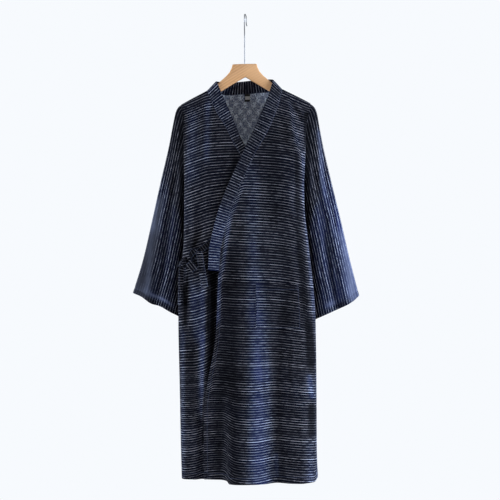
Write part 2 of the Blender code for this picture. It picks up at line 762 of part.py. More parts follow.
def hanger_mesh():
    """The hanger's flat outline, given its thickness along Y."""
    half = hanger_outline()
    points = [Corner(0.0, HANGER_TOP_Z), *half, HANGER_NOTCH]
    points += [Corner(-corner.x, corner.z) for corner in reversed(half)]
    curve = bpy.data.curves.new("hanger", "CURVE")
    curve.dimensions = "2D"
    curve.fill_mode = "BOTH"
    curve.extrude = HANGER_THICK / 2 * MM
    line = curve.splines.new("POLY")
    line.points.add(len(points) - 1)
    for point, (x, z) in zip(line.points, points):
        point.co = (x * MM, (z + x * HANGER_TILT) * MM, 0.0, 1.0)
    line.use_cyclic_u = True
    flat = new_object("hanger_outline", curve, "helpers")
    bpy.context.view_layer.update()
    graph = bpy.context.evaluated_depsgraph_get()
    mesh = bpy.data.meshes.new_from_object(flat.evaluated_get(graph))
    bpy.data.objects.remove(flat)
    shape = bmesh.new()
    shape.from_mesh(mesh)
    bmesh.ops.remove_doubles(shape, verts=shape.verts, dist=0.00001)
    bmesh.ops.recalc_face_normals(shape, faces=shape.faces)
    bmesh.ops.dissolve_limit(shape, angle_limit=0.01, verts=shape.verts, edges=shape.edges)
    shape.to_mesh(mesh)
    shape.free()
    return mesh


def drill(hanger):
    """The hole in the hanger's top for the hook's stem."""
    shape = bmesh.new()
    bmesh.ops.create_cone(
        shape,
        cap_ends=True,
        segments=16,
        radius1=HOLE_RADIUS * MM,
        radius2=HOLE_RADIUS * MM,
        depth=HOLE_DEPTH * MM,
    )
    mesh = bpy.data.meshes.new("hook_hole")
    shape.to_mesh(mesh)
    shape.free()
    cutter = new_object("hook_hole", mesh, "helpers")
    cutter.location = (0.0, 0.0, (HOOK_SEAT - 1.0 + HOLE_DEPTH / 2) * MM)
    cutter.hide_render = True
    cutter.display_type = "WIRE"
    hole = hanger.modifiers.new("hole", "BOOLEAN")
    hole.object = cutter


def make_hanger():
    hanger = finish(new_object("hanger", hanger_mesh(), "kimono"), "beech")
    hanger.rotation_euler = (math.pi / 2, 0.0, 0.0)
    edges = hanger.modifiers.new("edges", "BEVEL")
    edges.width = HANGER_EDGE * MM
    edges.segments = 2
    edges.limit_method = "ANGLE"
    edges.angle_limit = math.radians(50)
    drill(hanger)


def hook_path():
    """Points of the hook's wire, up the stem, round behind the rail and down in front of it."""
    radius = HOOK_INNER_RADIUS + WIRE_RADIUS
    middle = -HOOK_INNER_RADIUS
    turns = [math.pi * step / HOOK_ARC_STEPS for step in range(HOOK_ARC_STEPS + 1)]
    arc = [Bend(radius * math.cos(turn), middle + radius * math.sin(turn)) for turn in turns]
    return [*HOOK_STEM, *arc, *HOOK_TIP]


def make_hook():
    curve = bpy.data.curves.new("hook", "CURVE")
    curve.dimensions = "3D"
    curve.bevel_depth = WIRE_RADIUS * MM
    curve.bevel_resolution = 2
    curve.use_fill_caps = True
    path = hook_path()
    line = curve.splines.new("POLY")
    line.points.add(len(path) - 1)
    turn = Matrix.Rotation(HOOK_TURN, 3, "Z")
    for point, (y, z) in zip(line.points, path):
        point.co = (*(turn @ Vector((0.0, y, z)) * MM), 1.0)
    finish(new_object("hook", curve, "kimono"), "bright_wire")


def main():
    for obj in list(bpy.data.objects):
        bpy.data.objects.remove(obj)
    for name in ("kimono", "helpers"):
        collection = bpy.data.collections.new(name)
        bpy.context.scene.collection.children.link(collection)
    make_back()
    make_inner_front()
    make_outer_front()
    make_pocket()
    make_collar()
    make_sleeves()
    make_label()
    make_ties()
    make_knot()
    make_hanger()
    make_hook()


main()
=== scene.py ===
"""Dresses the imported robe: woven cloth, sewn edges, ties, label, hanger, hook and a soft studio.

Sizes are in millimetres until a mesh is made. X runs to the viewer's right, Y away from the viewer
and Z up, with the origin at the point of the hook that lies on a rail.
"""

from __future__ import annotations

import logging
import math
from collections.abc import Sequence
from dataclasses import dataclass
from enum import Enum

import bpy
import numpy as np
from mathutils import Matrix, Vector


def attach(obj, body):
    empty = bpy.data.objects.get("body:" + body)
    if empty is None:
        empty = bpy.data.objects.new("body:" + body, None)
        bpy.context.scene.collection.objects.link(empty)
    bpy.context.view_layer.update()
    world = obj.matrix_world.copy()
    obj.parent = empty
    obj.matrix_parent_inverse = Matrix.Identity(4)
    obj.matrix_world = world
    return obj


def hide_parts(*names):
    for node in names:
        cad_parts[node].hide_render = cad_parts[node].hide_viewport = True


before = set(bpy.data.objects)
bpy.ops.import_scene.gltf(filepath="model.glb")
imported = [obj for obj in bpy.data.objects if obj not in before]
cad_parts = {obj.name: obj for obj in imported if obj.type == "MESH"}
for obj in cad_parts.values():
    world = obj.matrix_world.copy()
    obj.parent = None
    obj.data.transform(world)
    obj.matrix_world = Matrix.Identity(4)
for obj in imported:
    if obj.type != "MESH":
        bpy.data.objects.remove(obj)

MM = 0.001
FAR = 100.0
BODY = "root"
MEASURED = (-280, -300, -325, -355, -430, -490, -528, -600, -690, -780, -840, -940, -1140, -1340, -1460)
LOG = logging.getLogger("robe")

Array = np.ndarray
Reals = Array | float
Socket = bpy.types.NodeSocket
Material = bpy.types.Material
Piece = bpy.types.Object
Pair = tuple[float, float]
Triple = tuple[float, float, float]
Range = tuple[float, float, float, float]
Row = tuple[float, ...]
Colour = Triple
Plain = dict[str, float | Row]


def mix(a: Reals, b: Reals, share: Reals) -> Reals:
    """The value a share of the way from a to b."""
    return a + (b - a) * share


def ease(share: Reals) -> Array:
    """A share that starts and ends gently."""
    held = np.clip(share, 0.0, 1.0)
    return held * held * (3.0 - 2.0 * held)


def arc_length(places: Array, axis: int) -> Array:
    """Distance walked along one axis of a grid of places.

    Args:
        places: array (rows, columns, 3).
        axis: 0 to walk down the rows, 1 to walk across the columns.

    Returns:
        Array (rows, columns), zero at the start of each walk.
    """
    step = np.linalg.norm(np.diff(places, axis=axis), axis=2)
    return np.insert(np.cumsum(step, axis=axis), 0, 0.0, axis=axis)


class Track:
    """A smooth curve through given points that never overshoots them."""

    def __init__(self, *points: Pair) -> None:
        """Fits the curve.

        Args:
            points: pairs of a key and its value, in any order.
        """
        ordered = sorted(points)
        self.key = np.array([float(key) for key, _ in ordered])
        self.value = np.array([float(value) for _, value in ordered])
        slope = np.diff(self.value) / np.diff(self.key)
        before, after = slope[:-1], slope[1:]
        agree = before * after > 0
        total = np.where(agree, before + after, 1.0)
        inner = np.where(agree, 2.0 * before * after / total, 0.0)
        self.tangent = np.concatenate([slope[:1], inner, slope[-1:]])

    def __call__(self, at: Reals) -> Array:
        """Reads the curve.

        Args:
            at: one key or many.

        Returns:
            The value at each, held at both ends.
        """
        held = np.clip(at, self.key[0], self.key[-1])
        low = np.clip(np.searchsorted(self.key, held) - 1, 0, len(self.key) - 2)
        span = self.key[low + 1] - self.key[low]
        t = (held - self.key[low]) / span
        return (
            (2 * t**3 - 3 * t**2 + 1) * self.value[low]
            + (t**3 - 2 * t**2 + t) * span * self.tangent[low]
            + (3 * t**2 - 2 * t**3) * self.value[low + 1]
            + (t**3 - t**2) * span * self.tangent[low + 1]
        )


def down_robe(*values: float) -> Track:
    """A smooth curve through one value at each measured height, from the shoulder to the hem."""
    return Track(*zip(MEASURED, values))


class Face(Enum):
    """Which cloth of the body is meant."""

    OUTER = "outer front"
    INNER = "inner front"
    BACK = "back"


@dataclass(frozen=True)
class Fold:
    """A long fold that hangs down the cloth; a ridge is positive and stands out of the robe."""

    top_x: float
    top_z: float
    low_x: float
    low_z: float
    width: float
    top: float
    low: float
    edge: float = 2.0
    fade: float = 0.15

    def height(self, x: Array, z: Array) -> Array:
        """How far it lifts the cloth.

        Args:
            x: places across the robe.
            z: their heights.

        Returns:
            The lift at each place.
        """
        share = (z - self.top_z) / (self.low_z - self.top_z)
        whole = ease((share + self.fade) / (2 * self.fade))
        whole = whole * ease((1 + self.fade - share) / (2 * self.fade))
        held = np.clip(share, 0.0, 1.0)
        across = np.abs(x - mix(self.top_x, self.low_x, held)) / self.width
        return mix(self.top, self.low, held) * whole * np.exp(-(across**self.edge))


@dataclass(frozen=True)
class Crease:
    """A soft crease along a slightly bowed line, which dies away at both ends."""

    start: Pair
    end: Pair
    width: float
    lift: float
    bow: float = 0.0

    def height(self, x: Array, z: Array) -> Array:
        """How far it lifts the cloth.

        Args:
            x: places across the robe.
            z: their heights.

        Returns:
            The lift at each place.
        """
        way_x, way_z = self.end[0] - self.start[0], self.end[1] - self.start[1]
        length = math.hypot(way_x, way_z)
        right, up = x - self.start[0], z - self.start[1]
        share = (right * way_x + up * way_z) / length**2
        off = (up * way_x - right * way_z) / length
        held = np.clip(share, 0.0, 1.0)
        off = off - self.bow * 4.0 * held * (1.0 - held)
        beyond = (share - held) * length
        swell = ease(np.sin(held * math.pi) * 1.3)
        return self.lift * swell * np.exp(-((off / self.width) ** 2) - (beyond / self.width) ** 2)


Folds, Creases, Bands = tuple[Fold, ...], tuple[Crease, ...], tuple[Fold | Crease, ...]


def folds_of(*rows: Row) -> Folds:
    """Folds, each given by its numbers in order."""
    return tuple(Fold(*row) for row in rows)


def creases_of(*rows: Row) -> Creases:
    """Creases, each given by where it starts and ends, its width, its lift and its bow."""
    return tuple(Crease(row[:2], row[2:4], *row[4:]) for row in rows)


@dataclass(frozen=True)
class RobeForm:
    """The shape of the body's cloth, with its long folds and its small creases."""

    cloth: float = 1.8
    seam_gap: float = 0.4
    side_gap: float = 0.7
    layer_gap: float = 10.0
    tilt: float = math.tan(math.radians(1.2))
    neck_x: float = 117.0
    neck_dip: float = 6.0
    neck_dip_slope: float = 2.2
    neck_lean: float = 0.06
    shoulder_z: float = -280.0
    level_z: float = -450.0
    underarm_z: float = -528.0
    collar_end_z: float = -792.0
    hem_z: float = -1438.0
    inner_hem_rise: float = 6.5
    back_hem_rise: float = 4.0
    ridge_radius: float = 9.0
    front_growth: float = 200.0
    back_growth: float = 90.0
    roundness: float = 3.0
    fold_start: float = 60.0
    fold_reach: float = 1.6
    roll_depth: float = 3.0
    roll_width: float = 9.0
    roll_end_z: float = -1180.0
    roll_fade: float = 120.0
    fine_start: float = 34.0
    undulation: float = 0.55
    ripple_slow: tuple[Range, ...] = ((1.0, 31.0, 143.0, 1.0), (0.7, 17.0, -97.0, 2.0))
    ripple_fine: Range = (0.45, 9.5, 71.0, 53.0)
    flank_step: float = 12.0
    flank_start: float = 0.04
    flank_reach: float = 0.75
    # painted light: fold flanks that turn towards the right lamp or the left lamp are painted lighter by
    # these shares, within these limits
    right_painted_light: float = 0.16
    left_painted_light: float = 0.12
    painted_shading_limits: Pair = (-1.0, 1.5)
    ridge: Track = Track(
        (0, -193), (60, -206), (90, -218), (117, -233), (160, -255), (190, -271), (207, -281), (220, -292),
    )
    left: Track = down_robe(
        -195, -193, -190, -188, -186.5, -186.5, -186.5, -186.5, -187.5,
        -195, -203, -204.5, -200.5, -196.5, -193,
    )
    right: Track = down_robe(
        203, 200, 193.5, 188.5, 186.5, 184.5, 183.5, 185, 195, 205, 212, 219, 222, 223, 227,
    )
    front_depth: Track = down_robe(42, 44, 46, 49, 53, 55, 56, 57, 58, 59, 60, 61, 63, 66, 68)
    back_depth: Track = down_robe(44, 45, 46, 47, 49, 50, 50, 51, 52, 53, 54, 55, 58, 62, 64)
    armhole: Track = down_robe(8, 14, 18, 20, 20, 13, *(9 * [0.35]))
    outer_edge: Track = Track(
        (-231, 116), (-274, 104.5), (-307, 93.5), (-340, 81), (-392, 55), (-428, 34), (-490, 5), (-580, -34),
        (-632, -52), (-690, -67), (-731, -75), (-792, -79), (-846, -83), (-930, -85), (-1000, -89),
        (-1060, -99), (-1140, -115), (-1225, -125), (-1460, -124),
    )
    inner_edge: Track = Track(
        (-236, -116), (-250, -109), (-277, -97.5), (-310, -81.5), (-345, -60), (-380, -42.5), (-401, -33),
        (-424, -18.5), (-475, 8), (-540, 38), (-620, 60), (-700, 72), (-792, 78), (-1000, 88),
        (-1460, 104),
    )
    front_folds: Folds = folds_of(
        (140, -262, 158, -460, 19, 5, 6), (95, -330, 108, -620, 24, -3, -3), (30, -560, 22, -980, 34, 3, 5),
        (120, -640, 118, -960, 30, -2, -6), (18, -960, 16, -1498, 42, 4, 9),
        (96, -930, 100, -1498, 30, -6, -23), (178, -900, 176, -1498, 22, 1, 6),
        (-98, -1120, -97, -1498, 46, -8, -31, 6), (-20, -1080, -24, -1498, 22, 2, 5),
    )
    inner_folds: Folds = folds_of(
        (-124, -275, -130, -420, 15, 5, 4), (-152, -300, -160, -540, 20, 3, 5),
        (-130, -540, -136, -740, 18, -3, -5), (-112, -800, -112, -1090, 17, 11, 7),
        (-82, -700, -86, -1130, 20, -14, -8), (-181, -800, -178, -960, 11, -9, -4),
        (-154, -800, -160, -960, 16, 7, 6), (-152, -1010, -158, -1498, 24, -7, -13),
    )
    back_folds: Folds = folds_of(
        (-120, -290, -128, -1498, 26, 5, 12), (-70, -330, -74, -1498, 24, -6, -14),
        (-8, -420, -14, -1498, 30, 4, 11), (52, -330, 58, -1498, 24, -5, -13),
        (112, -300, 124, -1498, 28, 6, 13), (165, -560, 172, -1498, 18, -3, -7),
    )
    outer_creases: Creases = creases_of(
        (128, -262, 176, -345, 7, -2.6, 4), (150, -262, 186, -330, 5, 1.8, 2),
        (118, -275, 150, -430, 9, 1.8, -6), (80, -352, 172, -420, 12, -1.6, 8),
        (62, -400, 180, -520, 15, 1.6, 10), (150, -500, 182, -610, 9, -2.4, 5),
        (128, -520, 176, -700, 11, 1.8, -8), (20, -500, 120, -590, 14, -1.1, -6),
        (0, -540, 40, -780, 9, -1.5, 6), (-40, -640, 20, -720, 11, 1.4, 4),
        (60, -610, 66, -820, 10, 1.3, -5), (-30, -700, -22, -960, 8, 1.6, 4),
        (8, -760, 4, -1010, 7, -1.7, -4), (190, -720, 196, -940, 8, 2, 3),
        (150, -700, 164, -810, 8, -1.5, 3), (-66, -820, -62, -1060, 7, -1.5, 3),
        (-48, -900, -70, -1190, 9, 1.7, -6), (40, -990, 58, -1240, 8, -1.8, 5),
        (66, -1000, 72, -1300, 7, 1.7, -4), (126, -1000, 130, -1330, 8, -1.7, 6),
        (148, -980, 150, -1200, 7, 1.5, -3), (200, -1010, 204, -1330, 8, -2, -3),
        (182, -1140, 222, -1160, 7, -1.7, 4), (-8, -1150, 0, -1400, 8, -1.7, 4),
        (-96, -1180, -60, -1215, 8, 1.5, 4), (-112, -1240, -118, -1420, 6, 1.6, 2),
        (40, -1290, 74, -1360, 10, 1.3, -4),
    )
    inner_creases: Creases = creases_of(
        (-186, -300, -132, -272, 7, -2.3, 4), (-190, -340, -120, -310, 9, 2, 5),
        (-186, -400, -84, -350, 10, -1.8, 8), (-184, -470, -60, -420, 13, 1.8, 8),
        (-184, -560, -60, -500, 12, -1.6, 10), (-182, -640, -80, -590, 12, 1.6, 8),
        (-170, -600, -176, -740, 7, -2, 3), (-150, -640, -160, -750, 7, 1.8, -3),
        (-120, -650, -176, -752, 6, -2.2, 4), (-176, -770, -104, -850, 6, 2.2, -6),
        (-184, -785, -130, -905, 6, -2, -5), (-196, -830, -176, -960, 5, 1.8, 3),
        (-136, -960, -140, -1180, 7, -2, 4), (-176, -990, -182, -1220, 7, 2, -4),
        (-128, -1060, -124, -1320, 7, 1.8, 3), (-184, -1240, -188, -1410, 6, -1.8, 2),
        (-146, -1180, -142, -1420, 6, 1.5, 2),
    )
    back_creases: Creases = creases_of(
        (-170, -300, -110, -360, 9, 2, 5), (170, -300, 112, -372, 9, 2, -5),
        (-178, -420, -90, -520, 13, -1.8, 8), (178, -430, 84, -545, 13, -1.8, -8),
        (-180, -540, -100, -640, 11, 1.8, 6), (176, -560, 120, -680, 11, 1.8, -6),
        (-60, -260, 40, -275, 14, -1.4, 6), (-40, -480, -30, -760, 9, -1.8, 5),
        (20, -560, 34, -860, 8, 1.8, -5), (84, -700, 92, -1010, 9, 1.6, 4),
        (-150, -720, -156, -1080, 8, -2, 4), (-100, -840, -98, -1160, 8, 1.8, -4),
        (-44, -930, -40, -1290, 8, 1.8, 5), (24, -1010, 20, -1380, 9, -1.9, -4),
        (146, -880, 150, -1220, 8, -2, 4), (196, -930, 200, -1300, 8, 1.8, -3),
        (90, -1120, 94, -1410, 8, -1.7, 3), (-178, -1100, -180, -1400, 7, 1.8, 3),
    )
    # painted light and shade in bands on the outer front, inner front and back: each Fold's height here is
    # the share of painted light (positive) or painted shade (negative), not a lift of the cloth
    outer_painted_shading_bands: Folds = folds_of(
        (141, -262, 148, -350, 8, 0.3, 0.6), (148, -350, 178, -465, 9, 0.5, 0.4),
        (180, -450, 182, -570, 7, 0.35, 0.45, 4), (191, -305, 191, -410, 10, -1.5, -1.3, 3),
        (182, -570, 209, -870, 7, 0.4, 0.45, 4), (209, -860, 217, -1000, 7, 0.5, 0.5, 4),
        (220, -1000, 223, -1498, 4, 0.5, 0.55, 4), (161, -420, 162, -600, 11, -0.9, -0.8, 3),
        (163, -590, 188, -940, 14, -0.75, -0.8, 3), (20, -470, -46, -632, 9, 0.2, 0.85),
        (-46, -630, -68, -800, 9, 1.2, 1.5), (-77, -800, -80, -950, 8, 1.5, 1.4),
        (-84, -940, -112, -1150, 3, 1, 0.6), (25, -440, 27, -780, 25, 0.35, 0.8),
        (28, -780, 36, -940, 29, 0.85, 1.05), (38, -930, 45, -1120, 31, 1.05, 1.25),
        (45, -1110, 42, -1498, 35, 1.25, 1.5), (-40, -700, -48, -1130, 38, -0.55, -0.75, 3),
        (-52, -1120, -46, -1498, 50, -0.7, -0.72, 4), (80, -330, 92, -640, 32, -0.55, -0.52),
        (100, -1000, 112, -1498, 28, -0.35, -0.45), (118, -620, 124, -1000, 38, -0.45, -0.5),
        (198, -940, 204, -1100, 16, -1.1, -1.1, 4), (204, -1195, 205, -1300, 15, -1, -0.9, 3),
        (197, -1105, 207, -1185, 9, 1, 0.9), (199, -1310, 204, -1498, 14, 0.3, 0.7),
        (98, -1345, 101, -1425, 10, 1.1, 1),
    )
    inner_painted_shading_bands: Folds = folds_of(
        (-160, -300, -160, -520, 24, 0.75, 0.5), (-112, -265, -116, -455, 12, 0.8, 0.75),
        (-191, -300, -188, -420, 9, -1.1, -1), (-188, -420, -189, -540, 5, -1, -0.9),
        (-146, -830, -132, -1010, 25, 0.85, 0.95, 4), (-182, -835, -181, -965, 8, -1.3, -1.2),
        (-125, -1000, -130, -1250, 16, 1.2, 0.8, 3), (-160, -1010, -158, -1240, 13, -0.5, -0.4),
        (-188, -960, -190, -1498, 8, 0.5, 0.4), (-98, -780, -112, -1190, 13, -1.6, -1.3, 4),
        (-123, -1180, -128, -1330, 4, -1.4, -1), (-20, -430, -96, -690, 15, -0.6, -0.9),
        (-172, -660, -150, -765, 26, -0.5, -0.7),
    )
    back_painted_shading_bands: Folds = folds_of(
        (-120, -300, -128, -1000, 20, 0.3, 0.7), (-128, -990, -132, -1498, 24, 0.7, 1.1),
        (-70, -360, -74, -1498, 20, -0.2, -0.6), (-2, -460, -12, -1000, 20, 0.2, 0.6),
        (-12, -990, -16, -1498, 26, 0.7, 1.2), (54, -420, 60, -1498, 22, -0.2, -0.65),
        (116, -300, 122, -760, 18, 0.3, 0.5), (122, -750, 128, -1498, 24, 0.6, 1),
        (166, -600, 172, -1498, 14, -0.3, -0.6), (-176, -620, -180, -1498, 12, -0.3, -0.5),
    )

    def ridge_z(self, x: Array) -> Array:
        """Height of the line that the shoulders hang on."""
        return self.ridge(np.abs(x)) + x * self.tilt

    def side_x(self, z: Array, side: Reals) -> Array:
        """The body's edge at a height, on the side -1 (viewer's left) or 1."""
        return np.where(np.less(side, 0), self.left(z), self.right(z))

    def neckline_z(self, x: Array) -> Array:
        """Top edge of the back: the shoulder ridge, and a shallow dip across the neck.

        Args:
            x: places across the robe.

        Returns:
            The edge's height at each place.
        """
        dip = self.neck_dip * ease(self.neck_dip_slope * (1.0 - np.abs(x) / self.neck_x))
        lean = self.neck_lean * (1.0 - (x / self.neck_x) ** 2)
        across = self.ridge(self.neck_x) + x * (self.tilt + lean) - dip
        return np.where(np.abs(x) >= self.neck_x, self.ridge_z(x), across)

    def half_depth(self, x: Array, z: Array, face: Face) -> Array:
        """How far the cloth stands from the middle plane, from the ridge down.

        Args:
            x: places across the robe.
            z: their heights.
            face: which cloth.

        Returns:
            The distance at each place, where the cloth stands widest.
        """
        behind = face is Face.BACK
        depth = self.back_depth if behind else self.front_depth
        growth = self.back_growth if behind else self.front_growth
        drop = np.maximum(self.ridge_z(x) - z, 0.0)
        turn = 1.0 - np.minimum(drop / self.ridge_radius, 1.0)
        rounded = self.ridge_radius * np.sqrt(np.maximum(1.0 - turn * turn, 0.0))
        full = depth(z) - self.ridge_radius
        grown = np.sin(np.clip(drop / growth, 0.0, 1.0) * math.pi / 2)
        return np.maximum(rounded + full * grown, self.side_gap / 2)

    def y_of(self, x: Array, z: Array, face: Face) -> Array:
        """Where the middle of a cloth lies, in front of the middle plane or behind it.

        Args:
            x: places across the robe.
            z: their heights.
            face: which cloth.

        Returns:
            Its Y at each place.
        """
        depth = self.half_depth(x, z, face)
        across = np.clip(np.abs(x / self.side_x(z, x)), 0.0, 1.0)
        bulge = (1.0 - across**self.roundness) ** (1.0 / self.roundness)
        edge = np.minimum(self.armhole(z), depth)
        drop = self.ridge_z(x) - z
        free = ease(drop / self.fold_start)
        layer = self.layer_gap if face is Face.INNER else 0.0
        depth = np.maximum(depth - layer * free, edge)
        folds, creases = {
            Face.OUTER: (self.front_folds, self.outer_creases),
            Face.INNER: (self.front_folds + self.inner_folds, self.inner_creases),
            Face.BACK: (self.back_folds, self.back_creases),
        }[face]
        held = np.minimum(1.0, self.fold_reach * bulge)
        large = sum(fold.height(x, z) for fold in folds) * free * held
        phase = {Face.OUTER: 0.4, Face.INNER: 2.1, Face.BACK: 3.9}[face]
        ripple = sum(
            high * np.sin(x / wide + z / tall + turn * phase) for high, wide, tall, turn in self.ripple_slow
        )
        high, wide, tall, other = self.ripple_fine
        ripple = ripple + high * np.sin(x / wide + z / tall + phase) * np.sin(z / other + phase)
        fine = sum(crease.height(x, z) for crease in creases) + self.undulation * ripple
        fine = fine * ease(drop / self.fine_start) * held
        y = edge + (depth - edge) * bulge + large + fine
        if face is Face.BACK:
            return y
        if face is Face.OUTER:
            window = ease((self.collar_end_z - z) / self.roll_fade)
            window = window * ease((z - self.roll_end_z) / self.roll_fade)
            inward = np.maximum(x - self.outer_edge(z), 0.0)
            y = y - self.roll_depth * window * np.exp(-inward / self.roll_width)
        return -y

    def fade(self, x: Array, z: Array, face: Face) -> Array:
        """Painted light and shade on the cloth: lighter on fold flanks turned towards a side lamp and in
        listed bands, darker in other listed bands.

        Args:
            x: places across the robe.
            z: their heights.
            face: which cloth.

        Returns:
            1 for painted light on a flank turned to a lamp, 0 where the cloth lies flat, -1 for painted shade
            in the deepest hollows.
        """
        step = self.flank_step
        turn = (self.y_of(x + step, z, face) - self.y_of(x - step, z, face)) / (2 * step)
        if face is Face.BACK:
            turn = -turn
        # painted light on flanks turned towards the right lamp and the left lamp, then the painted bands of
        # light and shade
        right = self.right_painted_light * ease((turn - self.flank_start) / self.flank_reach)
        left = self.left_painted_light * ease((-turn - self.flank_start) / self.flank_reach)
        bands = {
            Face.OUTER: self.outer_painted_shading_bands, Face.INNER: self.inner_painted_shading_bands, Face.BACK: self.back_painted_shading_bands
        }[face]
        return np.clip(right + left + sum(band.height(x, z) for band in bands), *self.painted_shading_limits)


@dataclass(frozen=True)
class Kink:
    """A place where the stripes step down towards the viewer's right, along a sharp crease."""

    line: Track
    width: float
    drop: float
    still: float = 0.0
    fade: float = 60.0


@dataclass(frozen=True)
class StripeRun:
    """How the stripes run across the body, by how many degrees they rise to the viewer's right."""

    pitch: Track = Track((240, 10.2), (330, 9.2), (430, 8.3), (640, 8.2), (870, 7.8), (1440, 7.6))
    drawn_pitch: float = 8.0
    reach: float = 240.0
    step: float = 2.0
    walk: Triple = (150.0, 1480.0, 5.0)
    back_share: float = 0.5
    outer: tuple[tuple[float, Row, Row], ...] = (
        (-240, (40, 110, 220), (-10, -22, -22)),
        (-330, (-20, 60, 120, 200), (-2, -6, -16, -18)),
        (-430, (-20, 80, 120, 150, 200), (-2, -3, -8, -14, -13)),
        (-700, (-60, 60, 110, 150, 200), (-3, -3, -7, -14, -12)),
        (-960, (-60, -20, 30, 90, 140, 200), (-6, -3, 1, -4, -8, -9)),
        (-1150, (-110, -70, -50, -10, 40, 65, 90, 150, 200), (2, -2, -10, -4, 4, 6, -2, -7, -8)),
        (-1230, (-110, -68, -56, -38, -24, 40, 65, 90, 200), (6, 2, -26, -28, -10, 5, 7, -2, -8)),
        (-1440, (-110, -68, -56, -38, -22, 40, 65, 90, 200), (8, 4, -36, -36, -10, 5, 9, 0, -8)),
    )
    inner: tuple[tuple[float, Row, Row], ...] = (
        (-250, (-190, -128, -112, -60), (24, 24, 12, 8)),
        (-350, (-190, -130, -112, -70, -30), (21, 21, 5, 2, 0)),
        (-480, (-190, -122, -106, -70, -30), (17, 17, 6, 4, 0)),
        (-850, (-190, -165, -140, -110), (14, 12, 16, 20)),
        (-1100, (-190, -165, -140, -110), (8, -2, 16, 30)),
        (-1250, (-190, -165, -140, -110), (1, 6, 18, 14)),
        (-1440, (-190, -165, -140, -110), (0, 12, 19, 9)),
    )
    kinks: tuple[Kink, ...] = (
        Kink(Track((-240, 140), (-349, 147), (-410, 162), (-500, 182)), 9.0, 6.0),
        Kink(Track((-660, 176), (-760, 180), (-900, 186), (-1020, 190)), 12.0, 4.5),
        Kink(
            Track(
                (-510, 4), (-580, -25), (-632, -43), (-690, -58), (-792, -70), (-930, -76), (-1060, -91),
                (-1200, -112),
            ),
            21.0, -13.0, 1.0,
        ),
    )

    def across(self, x: Array, z: Array, face: Face) -> Array:
        """Works out the stripe coordinate, from how far each stripe has risen since the middle.

        Args:
            x: places across the robe.
            z: their heights.
            face: which cloth.

        Returns:
            Distance over the cloth, across the stripes, at each place.
        """
        rows = self.outer if face is not Face.INNER else self.inner
        line = np.arange(-self.reach, self.reach + self.step, self.step)
        heights, risen = [], []
        for height, places, degrees in rows:
            climb = np.cumsum(np.tan(np.radians(np.interp(line, places, degrees)))) * self.step
            heights.append(-height)
            risen.append(np.interp(x, line, climb - np.interp(0.0, line, climb)))
        at = np.interp(-z, heights, np.arange(len(heights)))
        low = np.clip(np.floor(at).astype(int), 0, len(heights) - 2)
        stacked = np.stack(risen)
        above = np.take_along_axis(stacked, low[None], 0)[0]
        below = np.take_along_axis(stacked, low[None] + 1, 0)[0]
        risen_here = mix(above, below, at - low)
        if face is Face.OUTER:
            for kink in self.kinks:
                window = ease((kink.line.key[-1] - z) / kink.fade) * ease((z - kink.line.key[0]) / kink.fade)
                share = ease((x - kink.line(z)) / kink.width + 0.5) - kink.still
                risen_here = risen_here - kink.drop * share * window
        down = np.arange(*self.walk)
        walked = np.cumsum(self.drawn_pitch / self.pitch(down)) * self.walk[2]
        share = self.back_share if face is Face.BACK else 1.0
        return np.interp(-z, down, walked) + share * risen_here


class Value:
    """A number or colour that varies over a surface; sums with it lay out the nodes that work them out."""

    def __init__(self, graph: Graph, socket: Socket) -> None:
        """Takes a socket of a graph."""
        self.graph, self.socket = graph, socket

    def __add__(self, other: Number) -> Value:
        """The sum of two values."""
        return self.graph.sum("ADD", self, other)

    def __sub__(self, other: Number) -> Value:
        """This value less another."""
        return self.graph.sum("SUBTRACT", self, other)

    def __mul__(self, other: Number) -> Value:
        """The product of two values."""
        return self.graph.sum("MULTIPLY", self, other)

    def __truediv__(self, other: Number) -> Value:
        """This value divided by another."""
        return self.graph.sum("DIVIDE", self, other)

    def __pow__(self, power: float) -> Value:
        """This value raised to a power."""
        return self.graph.sum("POWER", self, power)

    def __abs__(self) -> Value:
        """This value without its sign."""
        return self.graph.sum("ABSOLUTE", self)


Number = Value | float


